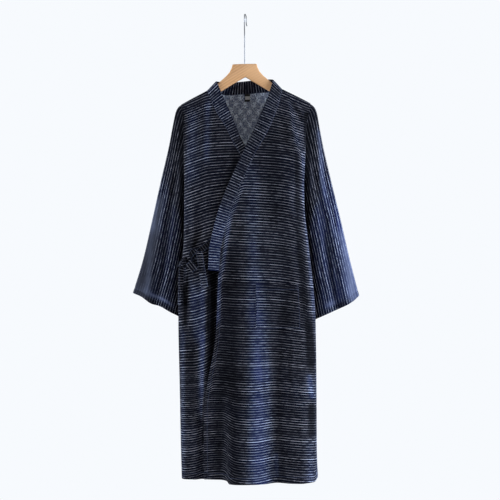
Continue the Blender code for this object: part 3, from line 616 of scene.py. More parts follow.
class Graph:
    """Lays out the nodes of one material."""

    def __init__(self, name: str) -> None:
        """Starts a new material of this name."""
        self.material = bpy.data.materials.new(name)
        self.material.use_nodes = True
        tree = self.material.node_tree
        self.nodes, self.links = tree.nodes, tree.links
        self.shader = self.nodes["Principled BSDF"]

    def feed(self, socket: Socket, value: Number | Sequence[float]) -> None:
        """Links a socket to a value, or sets it to a plain one.

        Args:
            socket: the socket to feed.
            value: a value of this graph, a plain number or plain numbers.
        """
        if isinstance(value, Value):
            self.links.new(value.socket, socket)
        else:
            socket.default_value = value

    def feed_all(self, node: bpy.types.Node, wanted: dict[str, Number | Sequence[float]]) -> None:
        """Feeds a node's sockets by their names."""
        for name, value in wanted.items():
            self.feed(node.inputs[name], value)

    def node(self, kind: str, *values: Number, output: int | str = 0, **settings: str) -> Value:
        """Adds a node.

        Args:
            kind: its kind, as Blender names it after "ShaderNode".
            values: what its first inputs are given, in order.
            output: which of its outputs is meant.
            settings: its own settings, by name.

        Returns:
            That output's value.
        """
        node = self.nodes.new("ShaderNode" + kind)
        for name, setting in settings.items():
            setattr(node, name, setting)
        for socket, value in zip(node.inputs, values):
            self.feed(socket, value)
        return Value(self, node.outputs[output])

    def sum(self, kind: str, *values: Number) -> Value:
        """One step of arithmetic, of a kind that Blender names."""
        return self.node("Math", *values, operation=kind)

    def between(self, value: Value, low: float, high: float, start: float = 0.0, end: float = 1.0) -> Value:
        """A smooth step from start to end as the value goes from low to high."""
        return self.node("MapRange", value, low, high, start, end, interpolation_type="SMOOTHSTEP")

    def vector(self, x: Number, y: Number, z: Number = 0.0) -> Value:
        """Three numbers as one vector."""
        return self.node("CombineXYZ", x, y, z)

    def parts(self, vector: Value) -> tuple[Value, Value, Value]:
        """The three numbers of a vector."""
        first = self.node("SeparateXYZ", vector)
        return first, *(Value(self, first.socket.node.outputs[number]) for number in (1, 2))

    def map_of(self, name: str) -> tuple[Value, Value]:
        """The two numbers of a named UV map."""
        return self.parts(self.node("UVMap", uv_map=name))[:2]

    def measure(self, name: str) -> Value:
        """A number that the mesh carries at each of its corners."""
        return self.node("Attribute", output="Fac", attribute_name=name)

    def place(self) -> tuple[Value, Value, Value]:
        """Object coordinates, in metres."""
        return self.parts(self.node("TexCoord", output="Object"))

    def noise(self, vector: Value, scale: float = 1.0, detail: float = 2.0, rough: float = 0.5) -> Value:
        """Soft noise from 0 to 1.

        Args:
            vector: the place that it is read at.
            scale: how often it changes in a metre.
            detail: how many finer layers it has.
            rough: how strong they are.

        Returns:
            The noise.
        """
        noise = self.node("TexNoise")
        wanted = {"Vector": vector, "Scale": scale, "Detail": detail, "Roughness": rough}
        self.feed_all(noise.socket.node, wanted)
        return noise

    def stretched(
        self,
        by: Sequence[float],
        ways: Sequence[Value],
        detail: float = 2.0,
        rough: float = 0.5,
        seed: float = 0.0,
    ) -> Value:
        """Noise that changes by another measure in each direction.

        Args:
            by: how often it changes in a metre, each way.
            ways: the two or three coordinates.
            detail: how many finer layers it has.
            rough: how strong they are.
            seed: the third coordinate, where only two are given.

        Returns:
            The noise.
        """
        scaled = [way * often for way, often in zip(ways, by)]
        return self.noise(self.vector(*scaled, *[seed][: 3 - len(scaled)]), 1.0, detail, rough)

    def random(self, value: Value, seed: float) -> Value:
        """One random number from 0 to 1 for each whole number."""
        noise = self.node("TexWhiteNoise", noise_dimensions="1D")
        self.feed(noise.socket.node.inputs["W"], value + seed)
        return noise

    def blend(self, share: Number, a: Value | Colour, b: Value | Colour) -> Value:
        """A colour a share of the way from a to b.

        Args:
            share: the share.
            a: the first colour.
            b: the other one.

        Returns:
            The blended colour.
        """
        mixed = self.node("Mix", share, output=2, data_type="RGBA")
        for socket, colour in zip(mixed.socket.node.inputs[6:8], (a, b)):
            self.feed(socket, (*colour, 1.0) if isinstance(colour, tuple) else colour)
        return mixed

    def bump(self, height: Value, millimetres: float, strength: float, under: Value | None = None) -> Value:
        """A normal raised by a height.

        Args:
            height: the height, from 0 to 1.
            millimetres: how high that is.
            strength: how strongly it shows.
            under: another normal that it lies on.

        Returns:
            The normal.
        """
        raised = self.node("Bump")
        wanted = {"Strength": strength, "Distance": millimetres * MM, "Height": height}
        if under is not None:
            wanted["Normal"] = under
        self.feed_all(raised.socket.node, wanted)
        return raised

    def close(self, colour: Value, rough: Number, normal: Value, plain: Plain) -> Material:
        """Joins the shader up.

        Args:
            colour: its base colour.
            rough: its roughness.
            normal: its normal.
            plain: its other sockets' plain values, by name.

        Returns:
            The finished material.
        """
        self.feed_all(self.shader, {"Base Color": colour, "Roughness": rough, "Normal": normal, **plain})
        return self.material


@dataclass(frozen=True)
class StripedCloth:
    """Dark cotton with uneven pale weft stripes, sewn with a matching thread.

    A pair is a start and a spread, or a low and a high end; a range of four also says what it is
    mapped to. How often a noise changes is given for a metre along the stripes and across them.
    """

    name: str = "striped cloth"
    seed: float = 0.0
    pitch: float = 8.0
    ground: Colour = (0.0019, 0.0021, 0.0044)
    worn: Colour = (0.0031, 0.0038, 0.0092)
    # Painted light and shade: a lighter, bluer ground and bluer pale lines stand in for side light on fold
    # flanks, and a near-black colour is painted shade in hollows.
    painted_lit_ground: Colour = (0.0125, 0.0175, 0.0640)
    painted_hollow_shade: Colour = (0.0012, 0.0012, 0.0018)
    line: Colour = (0.425, 0.408, 0.452)
    painted_lit_line: Colour = (0.72, 0.80, 1.0)
    thread: Colour = (0.05, 0.06, 0.10)
    seeds: Row = (3.0, 17.0, 31.0, 5.0)
    centre: Pair = (0.43, 0.14)
    half_width: Pair = (0.046, 0.084)
    line_edge: Pair = (1.25, 0.55)
    strength: Pair = (0.36, 0.68)
    strength_power: float = 1.4
    slub_often: Pair = (58.0, 3.7)
    slub: Range = (0.32, 0.62, 0.22, 1.24)
    fleck_often: Pair = (620.0, 1500.0)
    fleck: Range = (0.25, 0.75, 0.84, 1.12)
    faint_pitch: float = 0.9
    faint: Pair = (0.55, 0.028)
    rough_noise: float = 0.6
    drift_often: Pair = (11.0, 9.0)
    waver: float = 1.2
    patch_often: Pair = (9.0, 9.0)
    # the painted light is made patchy by noise, raised to a power and only partly tints the ground
    painted_light_patchiness: Range = (0.2, 0.75, 0.7, 1.15)
    patch_worn: Pair = (0.3, 0.7)
    painted_light_power: float = 1.9
    painted_light_ground_share: float = 0.46
    # where a piece asks for it, the pale lines are flattened to this level, which rises with the painted
    # light
    level: Pair = (0.018, 0.095)
    # how far the painted shade goes towards the near-black colour
    painted_shade_share: float = 0.85
    stitch: float = 3.4
    stitch_edge: Pair = (0.75, 0.35)
    stitch_beat: Pair = (0.66, 0.56)
    yarn: Pair = (0.62, 0.62 * 0.8)
    pucker: float = 9.0
    pucker_reach: float = 5.0
    rough: Pair = (0.9, -0.08)
    sheen: float = 0.03

    def lines(self, g: Graph, along: Value, across: Value) -> Value:
        """How much of the pale yarn shows: thin uneven lines, each with its own strength and breaks.

        Args:
            g: the material's graph.
            along: distance along the stripes.
            across: distance across them.

        Returns:
            The share of pale yarn.
        """
        turn = across / (self.pitch * MM)
        number = g.sum("FLOOR", turn)
        draws = [g.random(number, self.seed + seed) for seed in self.seeds[:3]]
        centre = draws[0] * self.centre[1] + self.centre[0]
        half = draws[1] * (self.half_width[1] - self.half_width[0]) + self.half_width[0]
        main = g.between(abs(g.sum("FRACT", turn) - centre) / half, *self.line_edge)
        strong = draws[2] ** self.strength_power * self.strength[1] + self.strength[0]
        slub = g.stretched(self.slub_often, (along, number), 3.0, self.rough_noise, self.seed)
        fleck = g.stretched(self.fleck_often, (along, across), 1.0, self.rough_noise, self.seed)
        amount = main * strong * (g.between(slub, *self.slub) * g.between(fleck, *self.fleck))
        faint = g.random(g.sum("FLOOR", across / (self.faint_pitch * MM)), self.seed + self.seeds[3])
        return g.sum("MAXIMUM", amount, g.between(faint, self.faint[0], 1.0) * self.faint[1])

    def stitches(self, g: Graph, seam_along: Value, seam_off: Value) -> tuple[Value, Value]:
        """A row of stitches.

        Args:
            g: the material's graph.
            seam_along: distance along the seam.
            seam_off: distance from it.

        Returns:
            Where the thread shows, and how the seam puckers the cloth beside it.
        """
        beat = g.sum("FRACT", seam_along / (self.stitch * MM))
        beside = g.between(abs(seam_off), *(MM * edge for edge in self.stitch_edge))
        wave = g.sum("SINE", seam_along * (2 * math.pi / (self.pucker * MM)))
        near = g.between(abs(seam_off), self.pucker_reach * MM, 0.0)
        return beside * g.between(beat, *self.stitch_beat), near * wave

    def build(self) -> Material:
        """Lays out the cloth: ground, worn patches, pale lines, painted light on fold flanks and painted
        shade in hollows, stitches and weave.

        Returns:
            The finished material.
        """
        g = Graph(self.name)
        ways = g.map_of("cut")
        drift = g.stretched(self.drift_often, ways, 3.0, self.rough_noise, self.seed)
        along, across = ways[0], (drift - 0.5) * (self.waver * MM) + ways[1]
        amount = self.lines(g, along, across)
        patch = g.stretched(self.patch_often, (along, across), 4.0, self.rough_noise, self.seed)
        # painted light and shade from each piece's mesh: above 0 the ground and lines turn lighter and bluer,
        # below 0 they go towards painted shade
        fade = g.measure("fade")
        painted_light_share = g.sum("MAXIMUM", fade, 0.0) * g.between(patch, *self.painted_light_patchiness)
        ground = g.blend(g.between(patch, *self.patch_worn), self.ground, self.worn)
        ground = g.blend(painted_light_share**self.painted_light_power * self.painted_light_ground_share, ground, self.painted_lit_ground)
        level = painted_light_share * self.level[1] + self.level[0]
        # flattens the pale lines where the mesh asks for it, as part of the painted light and shade
        amount = g.measure("dim") * (level - amount) + amount
        colour = g.blend(amount, ground, g.blend(painted_light_share, self.line, self.painted_lit_line))
        # painted shade in hollows
        colour = g.blend(g.between(fade, 0.0, -1.0, 0.0, self.painted_shade_share), colour, self.painted_hollow_shade)
        dash, pull = self.stitches(g, *g.map_of("sewing"))
        colour = g.blend(dash, colour, self.thread)
        yarns = [
            g.sum("SINE", way * (2 * math.pi / (each * MM))) for way, each in zip((across, along), self.yarn)
        ]
        normal = g.bump(yarns[0] * yarns[1], 0.05, 0.35)
        normal = g.bump(amount, 0.2, 0.35, normal)
        normal = g.bump(g.noise(g.vector(*g.place()), 50.0, 3.0), 1.6, 0.3, normal)
        normal = g.bump(pull + dash * 0.8, 0.5, 0.5, normal)
        plain = {"Sheen Weight": self.sheen, "Sheen Roughness": 0.42, "Sheen Tint": (0.55, 0.68, 1.0, 1.0)}
        plain["Specular IOR Level"] = 0.03
        return g.close(colour, amount * self.rough[1] + self.rough[0], normal, plain)


@dataclass(frozen=True)
class WrongSide:
    """The cloth's paler inner face: mottled, with a soft woven lattice and staggered pale tufts."""

    name: str = "wrong side of the cloth"
    dark: Colour = (0.094, 0.118, 0.235)
    pale: Colour = (0.80, 0.89, 1.0)
    tuft: Pair = (28.0, 34.0)
    tuft_edge: Pair = (0.34, 0.06)
    soft_often: float = 60.0
    softness: float = 3.0
    rib_edge: Pair = (0.38, 0.5)
    rib_share: float = 0.35
    blot_often: float = 230.0
    blot: Range = (0.38, 0.62, 0.0, 1.85)
    shape: Pair = (0.30, 0.72)
    yarn_often: Pair = (260.0, 900.0)
    yarn: Range = (0.2, 0.8, 0.45, 1.55)

    def build(self) -> Material:
        """Lays out tufts, lattice, blots and yarns.

        Returns:
            The finished material.
        """
        g = Graph(self.name)
        ways = g.map_of("cut")
        soft = g.noise(g.vector(*ways), self.soft_often) * (self.softness * MM)
        u, v = ((soft + way) / (each * MM) for way, each in zip(ways, self.tuft))
        tufts, ribs = [], []
        for start, rise in ((0.0, 1.0), (0.5, -1.0)):
            right, up = (g.sum("FRACT", turn + start) - 0.5 for turn in (u, v))
            tufts.append(g.between(g.sum("SQRT", right * right + up * up), *self.tuft_edge))
            ribs.append(g.between(abs(g.sum("FRACT", v * rise + u) - 0.5), *self.rib_edge))
        lattice = g.sum("MAXIMUM", *ribs) * self.rib_share
        blot = g.between(g.noise(g.vector(*ways), self.blot_often, 4.0, 0.75), *self.blot)
        yarns = g.stretched(self.yarn_often, ways)
        shape = g.sum("MAXIMUM", g.sum("MAXIMUM", *tufts), lattice) * self.shape[1] + self.shape[0]
        colour = g.blend(shape * blot * g.between(yarns, *self.yarn), self.dark, self.pale)
        normal = g.bump(yarns, 0.15, 0.4)
        normal = g.bump(g.noise(g.vector(*g.place()), 50.0, 3.0), 1.5, 0.3, normal)
        plain = {"Specular IOR Level": 0.2, "Sheen Weight": 0.12, "Sheen Roughness": 0.5}
        return g.close(colour, 0.92, normal, plain)


@dataclass(frozen=True)
class LabelCloth:
    """A small black woven label with a plain paler field, bare of words."""

    name: str = "woven label"
    dark: Colour = (0.006, 0.006, 0.007)
    pale: Colour = (0.66, 0.67, 0.70)
    size: Pair = (19.0, 23.0)
    field_edge: tuple[Pair, Pair] = ((0.42, 0.36), (0.24, 0.2))
    yarn_often: Pair = (2600.0, 1400.0)
    yarn: Range = (0.2, 0.8, 0.55, 1.0)

    def build(self) -> Material:
        """Lays out the field and the yarns.

        Returns:
            The finished material.
        """
        g = Graph(self.name)
        ways = g.map_of("cut")
        off = [abs(way / (each * MM) - 0.5) for way, each in zip(ways, self.size)]
        shown = g.between(off[0], *self.field_edge[0]) * g.between(off[1], *self.field_edge[1])
        yarns = g.stretched(self.yarn_often, ways, 1.0)
        colour = g.blend(shown * g.between(yarns, *self.yarn), self.dark, self.pale)
        return g.close(colour, 0.55, g.bump(yarns, 0.08, 0.5), {"Sheen Weight": 0.1})


@dataclass(frozen=True)
class PaleWood:
    """Pale close-grained wood under a thin satin varnish, its grain running along the arms."""

    name: str = "pale wood"
    light: Colour = (0.78, 0.44, 0.205)
    deep: Colour = (0.56, 0.265, 0.105)
    pore: Colour = (0.27, 0.13, 0.055)
    slope: float = 0.62
    warp_often: Triple = (6.0, 20.0, 20.0)
    warp: float = 9.0
    rings_often: float = 700.0
    fibre_often: Triple = (18.0, 900.0, 900.0)
    fibre: float = 0.5
    plainer: Range = (-8.0 * MM, 14.0 * MM, 0.5, 0.14)
    pores_often: Triple = (60.0, 1500.0, 1500.0)
    pores: Pair = (0.64, 0.74)
    rough: Pair = (0.36, 0.14)

    def build(self) -> Material:
        """Lays out rings, fibres and pores.

        Returns:
            The finished material.
        """
        g = Graph(self.name)
        x, y, z = g.place()
        ways = (z * self.slope + x, y, x * -self.slope + z)
        rings = g.stretched(self.warp_often, ways) * self.warp + ways[2] * self.rings_often
        band = g.between(g.sum("SINE", rings), -0.9, 1.0)
        fibre = g.stretched(self.fibre_often, ways, 3.0, 0.6)
        amount = fibre * self.fibre + band * g.between(x, *self.plainer)
        pores = g.between(g.stretched(self.pores_often, ways), *self.pores)
        colour = g.blend(pores * 0.5, g.blend(amount, self.light, self.deep), self.pore)
        normal = g.bump(g.sum("SUBTRACT", 1.0, pores), 0.05, 0.4, g.bump(fibre, 0.06, 0.35))
        plain = {"Specular IOR Level": 0.45, "Coat Weight": 0.25, "Coat Roughness": 0.28}
        return g.close(colour, fibre * self.rough[1] + self.rough[0], normal, plain)


@dataclass(frozen=True)
class BrightWire:
    """Drawn steel wire with fine lengthwise marks and a little dullness."""

    name: str = "bright wire"
    pale: Colour = (0.27, 0.27, 0.28)
    dull: Colour = (0.19, 0.19, 0.20)
    marks_often: Triple = (2600.0, 2600.0, 160.0)
    haze_often: float = 90.0
    haze: Pair = (0.4, 0.75)
    rough: Pair = (0.42, 0.16)

    def build(self) -> Material:
        """Lays out the marks and the haze.

        Returns:
            The finished material.
        """
        g = Graph(self.name)
        ways = g.place()
        marks = g.stretched(self.marks_often, ways)
        haze = g.noise(g.vector(*ways), self.haze_often, 3.0)
        colour = g.blend(g.between(haze, *self.haze), self.pale, self.dull)
        rough = marks * self.rough[1] + self.rough[0]
        return g.close(colour, rough, g.bump(marks, 0.02, 0.4), {"Metallic": 1.0})


@dataclass(frozen=True)
class StudioPaper:
    """Seamless pale paper for the floor."""

    name: str = "pale floor"
    pale: Colour = (0.86, 0.87, 0.885)
    shade: Colour = (0.84, 0.85, 0.87)
    grain_often: float = 300.0
    grain: Pair = (0.3, 0.7)

    def build(self) -> Material:
        """Lays out the paper's grain.

        Returns:
            The finished material.
        """
        g = Graph(self.name)
        grain = g.noise(g.vector(*g.place()), self.grain_often)
        colour = g.blend(g.between(grain, *self.grain), self.pale, self.shade)
        return g.close(colour, 0.85, g.bump(grain, 0.1, 0.2), {"Specular IOR Level": 0.2})


@dataclass
class ClothGrid:
    """A rectangular weave of places, each with its stripe and sewing coordinates, in millimetres.

    Every array is (rows, columns, ...). Seen from the cloth's right side, columns run to the
    right and rows run up.
    """

    place: Array
    cut: Reals = FAR
    sewing: Reals = FAR
    # painted light (positive) and painted shade (negative) at each place, and how far the pale lines are
    # flattened there
    fade: Reals = 0.0
    dim: Reals = 0.0

    def turned(self, down: int, across: int) -> ClothGrid:
        """Turns the weave round.

        Args:
            down: 1 to keep the rows' order, -1 to turn it round.
            across: the same for the columns.

        Returns:
            The turned weave.
        """
        arrays = (np.asarray(values) for values in (self.place, self.cut, self.sewing, self.fade, self.dim))
        return ClothGrid(*(values[::down, ::across].copy() if values.ndim else values for values in arrays))


@dataclass(frozen=True)
class ClothMaker:
    """Makes sheets, tubes and bands of cloth out of grids."""

    weld: float = 0.02
    sharp: float = math.radians(60)
    rim_sharp: float = math.radians(70)

    def clear(self) -> None:
        """Nothing is left selected."""
        if bpy.context.object and bpy.context.object.mode != "OBJECT":
            bpy.ops.object.mode_set(mode="OBJECT")
        bpy.ops.object.select_all(action="DESELECT")

    def grid(self, name: str, cloth: ClothGrid) -> Piece:
        """A single layer of cloth, one corner of the mesh for each place.

        Args:
            name: the new object's name.
            cloth: its places and coordinates.

        Returns:
            The new object.
        """
        rows, columns = cloth.place.shape[:2]
        self.clear()
        bpy.ops.mesh.primitive_grid_add(
            x_subdivisions=columns - 1, y_subdivisions=rows - 1, size=1.0, calc_uvs=False
        )
        obj = bpy.context.object
        obj.name = obj.data.name = name
        maps = {"cut": cloth.cut, "sewing": cloth.sewing}
        self.lay(obj.data, cloth.place, {kind: v + np.zeros((rows, columns, 2)) for kind, v in maps.items()})
        # the painted light and shade, and the flattening of the lines, go on the mesh as point attributes
        for kind, values in (("fade", cloth.fade), ("dim", cloth.dim)):
            self.measure(obj.data, kind, values + np.zeros((rows, columns)))
        obj.data.update()
        return obj

    def lay(self, mesh: bpy.types.Mesh, place: Array, maps: dict[str, Array]) -> None:
        """Moves a mesh's points and lays out its UV maps.

        Args:
            mesh: the mesh.
            place: a place for each point.
            maps: two coordinates for each point, by the map's name.
        """
        mesh.vertices.foreach_set("co", (place * MM).astype(np.float32).ravel())
        corner = np.empty(len(mesh.loops), dtype=np.int32)
        mesh.loops.foreach_get("vertex_index", corner)
        for name, values in maps.items():
            flat = (values.reshape(-1, 2)[corner] * MM).astype(np.float32)
            mesh.uv_layers.new(name=name).data.foreach_set("uv", flat.ravel())

    def measure(self, mesh: bpy.types.Mesh, name: str, values: Array) -> None:
        """Gives each point of a mesh a number under a name."""
        attribute = mesh.attributes.new(name, "FLOAT", "POINT")
        attribute.data.foreach_set("value", values.astype(np.float32).ravel())

    def merge(self, threshold: float) -> None:
        """Joins the points of the active object that lie closer together than the threshold."""
        bpy.ops.object.mode_set(mode="EDIT")
        bpy.ops.mesh.select_all(action="SELECT")
        bpy.ops.mesh.remove_doubles(threshold=threshold * MM)
        bpy.ops.object.mode_set(mode="OBJECT")

    def seat(self, obj: Piece, node: str, slot: str) -> None:
        """Rides a finished piece on the body in place of its node, and reports it.

        Args:
            obj: the piece.
            node: the node that it replaces.
            slot: its material slot; not used.
        """
        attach(obj, BODY)
        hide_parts(node)
        LOG.info("%s in place of %s: %d faces", obj.name, node, len(obj.data.polygons))

    def modify(self, obj: Piece, kind: str, **settings: float | str) -> None:
        """Adds a modifier and applies it.

        Args:
            obj: the piece.
            kind: the modifier's kind, as Blender names it.
            settings: its settings, by name.
        """
        modifier = obj.modifiers.new(kind, kind)
        for name, value in settings.items():
            setattr(modifier, name, value)
        bpy.ops.object.modifier_apply(modifier=modifier.name)

    def sheet(
        self,
        name: str,
        cloth: ClothGrid,
        wall: float,
        finish: Material,
        inside: Material | None = None,
        tube: bool = False,
        rim: float = 0.0,
    ) -> Piece:
        """A finished piece of cloth.

        Args:
            name: the new object's name.
            cloth: its places and coordinates.
            wall: its thickness.
            finish: the material of its right side.
            inside: the material of its wrong side, if it is another.
            tube: whether its first and last columns are sewn together.
            rim: how far its cut edges are rounded.

        Returns:
            The new object.
        """
        obj = self.grid(name, cloth)
        if tube:
            self.merge(self.weld)
        obj.data.materials.append(finish)
        if inside is not None:
            obj.data.materials.append(inside)
        lined = int(inside is not None)
        self.modify(obj, "SOLIDIFY", thickness=wall * MM, offset=0.0, material_offset=lined)
        if rim:
            bevel = {"segments": 2, "limit_method": "ANGLE", "angle_limit": self.rim_sharp}
            self.modify(obj, "BEVEL", width=rim * MM, **bevel)
        bpy.ops.object.shade_smooth_by_angle(angle=self.sharp)
        return obj


def hem_relief(off: Array, hem: Range) -> Array:
    """A shallow groove along a hem's stitching, and the hem's own slight fullness below it.

    Args:
        off: signed distances from the stitching.
        hem: how deep the groove is, half its width, how far the hem stands out, and how soon.

    Returns:
        The height at each place.
    """
    groove, width, fullness, reach = hem
    return -groove * np.exp(-((off / width) ** 2)) + fullness * ease(-off / reach)


def signed_nearest(*offsets: Array) -> Array:
    """Picks the nearest of several signed distances.

    Args:
        offsets: the distances from each line.

    Returns:
        The one that is nearest to zero at each place.
    """
    stacked = np.stack(np.broadcast_arrays(*offsets))
    nearest = np.argmin(np.abs(stacked), axis=0)
    return np.take_along_axis(stacked, nearest[None], 0)[0]


@dataclass
class BodyPanels:
    """The two fronts, the back and the patch pocket."""

    form: RobeForm
    stripes: StripeRun
    maker: ClothMaker
    finish: Material
    inside: Material
    front_columns: int = 92
    back_columns: int = 116
    upper_rows: int = 56
    lower_rows: int = 196
    front_evenness: float = 0.55
    upper_crowding: float = 1.6
    hem_depth: float = 19.0
    edge_hem: float = 11.0
    hem: Range = (0.7, 2.2, 0.45, 6.0)
    free_gap: float = 4.0
    top_blend: float = 0.03
    back_crowding: float = 0.5
    back_spread: Pair = (1.5, 8.0)
    corner_rise: float = 12.0
    corner_reach: float = 17.0
    corner_height: float = 60.0
    hem_step_x: float = -50.0
    hem_step_width: float = 6.0
    hem_step_rise: float = 7.5
    hem_step_height: float = 220.0
    pocket_first: float = 8 / 25
    pocket_last: float = 19 / 25
    pocket_top: float = -831.0
    pocket_low: float = -968.0
    pocket_hem: float = 17.0
    pocket_stitch: float = 3.0
    pocket_grid: tuple[int, int] = (64, 60)
    pocket_mouth: Pair = (1.6, 0.22)
    pocket_fullness: float = 0.5
    pocket_relief: float = 0.5
    pocket_shift: Pair = (31.0, 2.6)
    outer_flat: Pair = (0.37, 1.23)
    inner_flat: Pair = (0.34, 1.22)
    back_flat: Pair = (0.47, 1.24)
    pocket_flat: Pair = (0.14, 0.144)

    def heights(self, top_z: Array, hem: float) -> tuple[Array, Array]:
        """Spaces the rows of a panel.

        Args:
            top_z: height of its top edge in each column.
            hem: height of its hem.

        Returns:
            The rows' heights, and their shares of the way down to the level height.
        """
        upper = np.linspace(0.0, 1.0, self.upper_rows)[:, None] ** self.upper_crowding
        lower = np.linspace(self.form.level_z, hem, self.lower_rows + 1)[1:, None]
        high = mix(top_z, self.form.level_z, upper)
        z = np.concatenate([high, np.repeat(lower, high.shape[1], axis=1)])
        return z, np.concatenate([upper, np.ones_like(lower)])

    def front(self, side: int) -> ClothGrid:
        """Lays out one front.

        Args:
            side: 1 for the outer front, -1 for the inner one.

        Returns:
            Its grid.
        """
        form = self.form
        face, edge_track = (Face.OUTER, form.outer_edge) if side > 0 else (Face.INNER, form.inner_edge)
        hem = form.hem_z + (0.0 if side > 0 else form.inner_hem_rise)
        u = np.linspace(0.0, 1.0, self.front_columns)
        across = mix(np.sin(u * math.pi / 2), u, self.front_evenness)[None, :]
        neck = side * (form.neck_x + form.seam_gap)
        shoulder = form.side_x(form.shoulder_z, side)
        top_x = mix(neck, shoulder, across)
        z, down = self.heights(form.ridge_z(top_x), hem)
        edge = edge_track(z) + side * 2 * form.seam_gap
        x = mix(edge, form.side_x(z, side), across)
        x = mix(top_x, x, ease(down / self.top_blend))
        y = form.y_of(x, z, face)
        hem_off = z - (hem + self.hem_depth)
        edge_off = side * (x - edge_track(z)) - self.edge_hem
        free_edge = z < form.collar_end_z - self.free_gap
        relief, lifted, off, along = hem_relief(hem_off, self.hem), z, hem_off, x
        if side > 0:
            relief = relief + np.where(free_edge, hem_relief(edge_off, self.hem), 0.0)
            near = ease((x - (form.right(z) - self.corner_reach)) / self.corner_reach) ** 2
            lifted = z + self.corner_rise * near * ease((hem + self.corner_height - z) / self.corner_height)
            stepped = ease((self.hem_step_x - x) / self.hem_step_width + 0.5)
            low = ease((hem + self.hem_step_height - z) / self.hem_step_height)
            lifted = lifted + self.hem_step_rise * stepped * low
            off = np.where(free_edge, signed_nearest(hem_off, edge_off), hem_off)
            along = np.where(free_edge & (np.abs(edge_off) < np.abs(hem_off)), z, x)
        place = np.stack([x, y - relief, lifted], axis=2)
        run = arc_length(place, 1) * side + x[:, :1]
        cut = np.stack([run, self.stripes.across(x, z, face)], axis=2)
        sewing = np.stack([along, off], axis=2)
        # with the painted light and shade from the form
        return ClothGrid(place, cut, sewing, form.fade(x, z, face)).turned(-1, side)

    def back(self) -> ClothGrid:
        """Lays out the back.

        Returns:
            Its grid.
        """
        form = self.form
        hem = form.hem_z + form.back_hem_rise
        u = np.linspace(-1.0, 1.0, self.back_columns)
        even = np.abs(u)
        side = np.where(u < 0, -1.0, 1.0)
        reach = np.abs(form.side_x(form.shoulder_z, side))
        top_x = side * reach * even
        crowd = mix(np.sin(even * math.pi / 2), even, self.back_crowding)
        z, down = self.heights(form.neckline_z(top_x)[None, :], hem)
        level = ease(down * self.back_spread[0])
        share = mix(even[None, :], crowd[None, :], level)
        edge = np.abs(form.side_x(z, np.broadcast_to(side, z.shape)))
        x = side * share * mix(reach[None, :], edge, ease(np.minimum(1.0, level * self.back_spread[1])))
        hem_off = z - (hem + self.hem_depth)
        y = form.y_of(x, z, Face.BACK) + hem_relief(hem_off, self.hem)
        place = np.stack([x, y, z], axis=2)
        run = arc_length(place, 1)
        run = run - run[:, [self.back_columns // 2]]
        cut = np.stack([run, self.stripes.across(x, z, Face.BACK)], axis=2)
        sewing = np.stack([x, hem_off], axis=2)
        # with the painted light and shade from the form
        return ClothGrid(place, cut, sewing, form.fade(x, z, Face.BACK)).turned(-1, -1)

    def pocket(self) -> ClothGrid:
        """Lays out the patch pocket, lying on the outer front.

        Returns:
            Its grid.
        """
        form = self.form
        rows, columns = self.pocket_grid
        u = np.linspace(self.pocket_first, self.pocket_last, columns)[None, :]
        z = np.linspace(self.pocket_top, self.pocket_low, rows)[:, None] + 0.0 * u
        across = mix(np.sin(u * math.pi / 2), u, self.front_evenness)
        edge = form.outer_edge(z) + 2 * form.seam_gap
        x = mix(edge, form.right(z), across)
        y = form.y_of(x, z, Face.OUTER)
        slopes = [
            (form.y_of(x + right, z + up, Face.OUTER) - form.y_of(x - right, z - up, Face.OUTER)) / 2
            for right, up in ((1, 0), (0, 1))
        ]
        normal = np.stack([slopes[0], -np.ones_like(x), slopes[1]], axis=2)
        normal /= np.linalg.norm(normal, axis=2, keepdims=True)
        share = np.linspace(0.0, 1.0, columns)[None, :]
        down = np.linspace(0.0, 1.0, rows)[:, None]
        arch = np.sin(share * math.pi)
        mouth = self.pocket_mouth[0] * arch * (1.0 - ease(down / self.pocket_mouth[1]))
        inner = self.pocket_fullness * arch * np.sin(down * math.pi)
        mouth_off = (self.pocket_top - self.pocket_hem) - z
        relief = np.clip(hem_relief(-mouth_off, self.hem), -self.pocket_relief, self.pocket_relief)
        out = form.cloth + 2 * form.seam_gap + mouth + inner + relief
        place = np.stack([x, y, z], axis=2) + normal * out[:, :, None]
        width = x[:, -1:] - x[:, :1]
        left = share * width - self.pocket_stitch
        right = (1.0 - share) * width - self.pocket_stitch
        low = (z - self.pocket_low) - self.pocket_stitch
        off = signed_nearest(left, right, low, mouth_off)
        upright = (np.abs(left) <= np.abs(off) + 1e-6) | (np.abs(right) <= np.abs(off) + 1e-6)
        along = np.where(upright, z, x)
        stripe = self.stripes.across(x, z, Face.OUTER)
        cut = np.stack([x + self.pocket_shift[0], stripe + self.pocket_shift[1]], axis=2)
        sewing = np.stack([along, off], axis=2)
        # with the painted light and shade from the form
        return ClothGrid(place, cut, sewing, form.fade(x, z, Face.OUTER)).turned(-1, 1)

    def build(self) -> None:
        """Makes the four pieces, each in place of its node."""
        jobs = (
            ("back", "back_cloth", self.back(), self.back_flat, ["hanger"]),
            ("right_front", "inner_front_cloth", self.front(-1), self.inner_flat, ["hanger"]),
            ("left_front", "outer_front_cloth", self.front(1), self.outer_flat, ["hanger"]),
            ("pocket", "pocket_cloth", self.pocket(), self.pocket_flat, ["outer_front_cloth"]),
        )
        for node, name, cloth, flat, rests_on in jobs:
            piece = self.maker.sheet(name, cloth, self.form.cloth, self.finish, self.inside)
            self.maker.seat(piece, node, "striped_cloth")


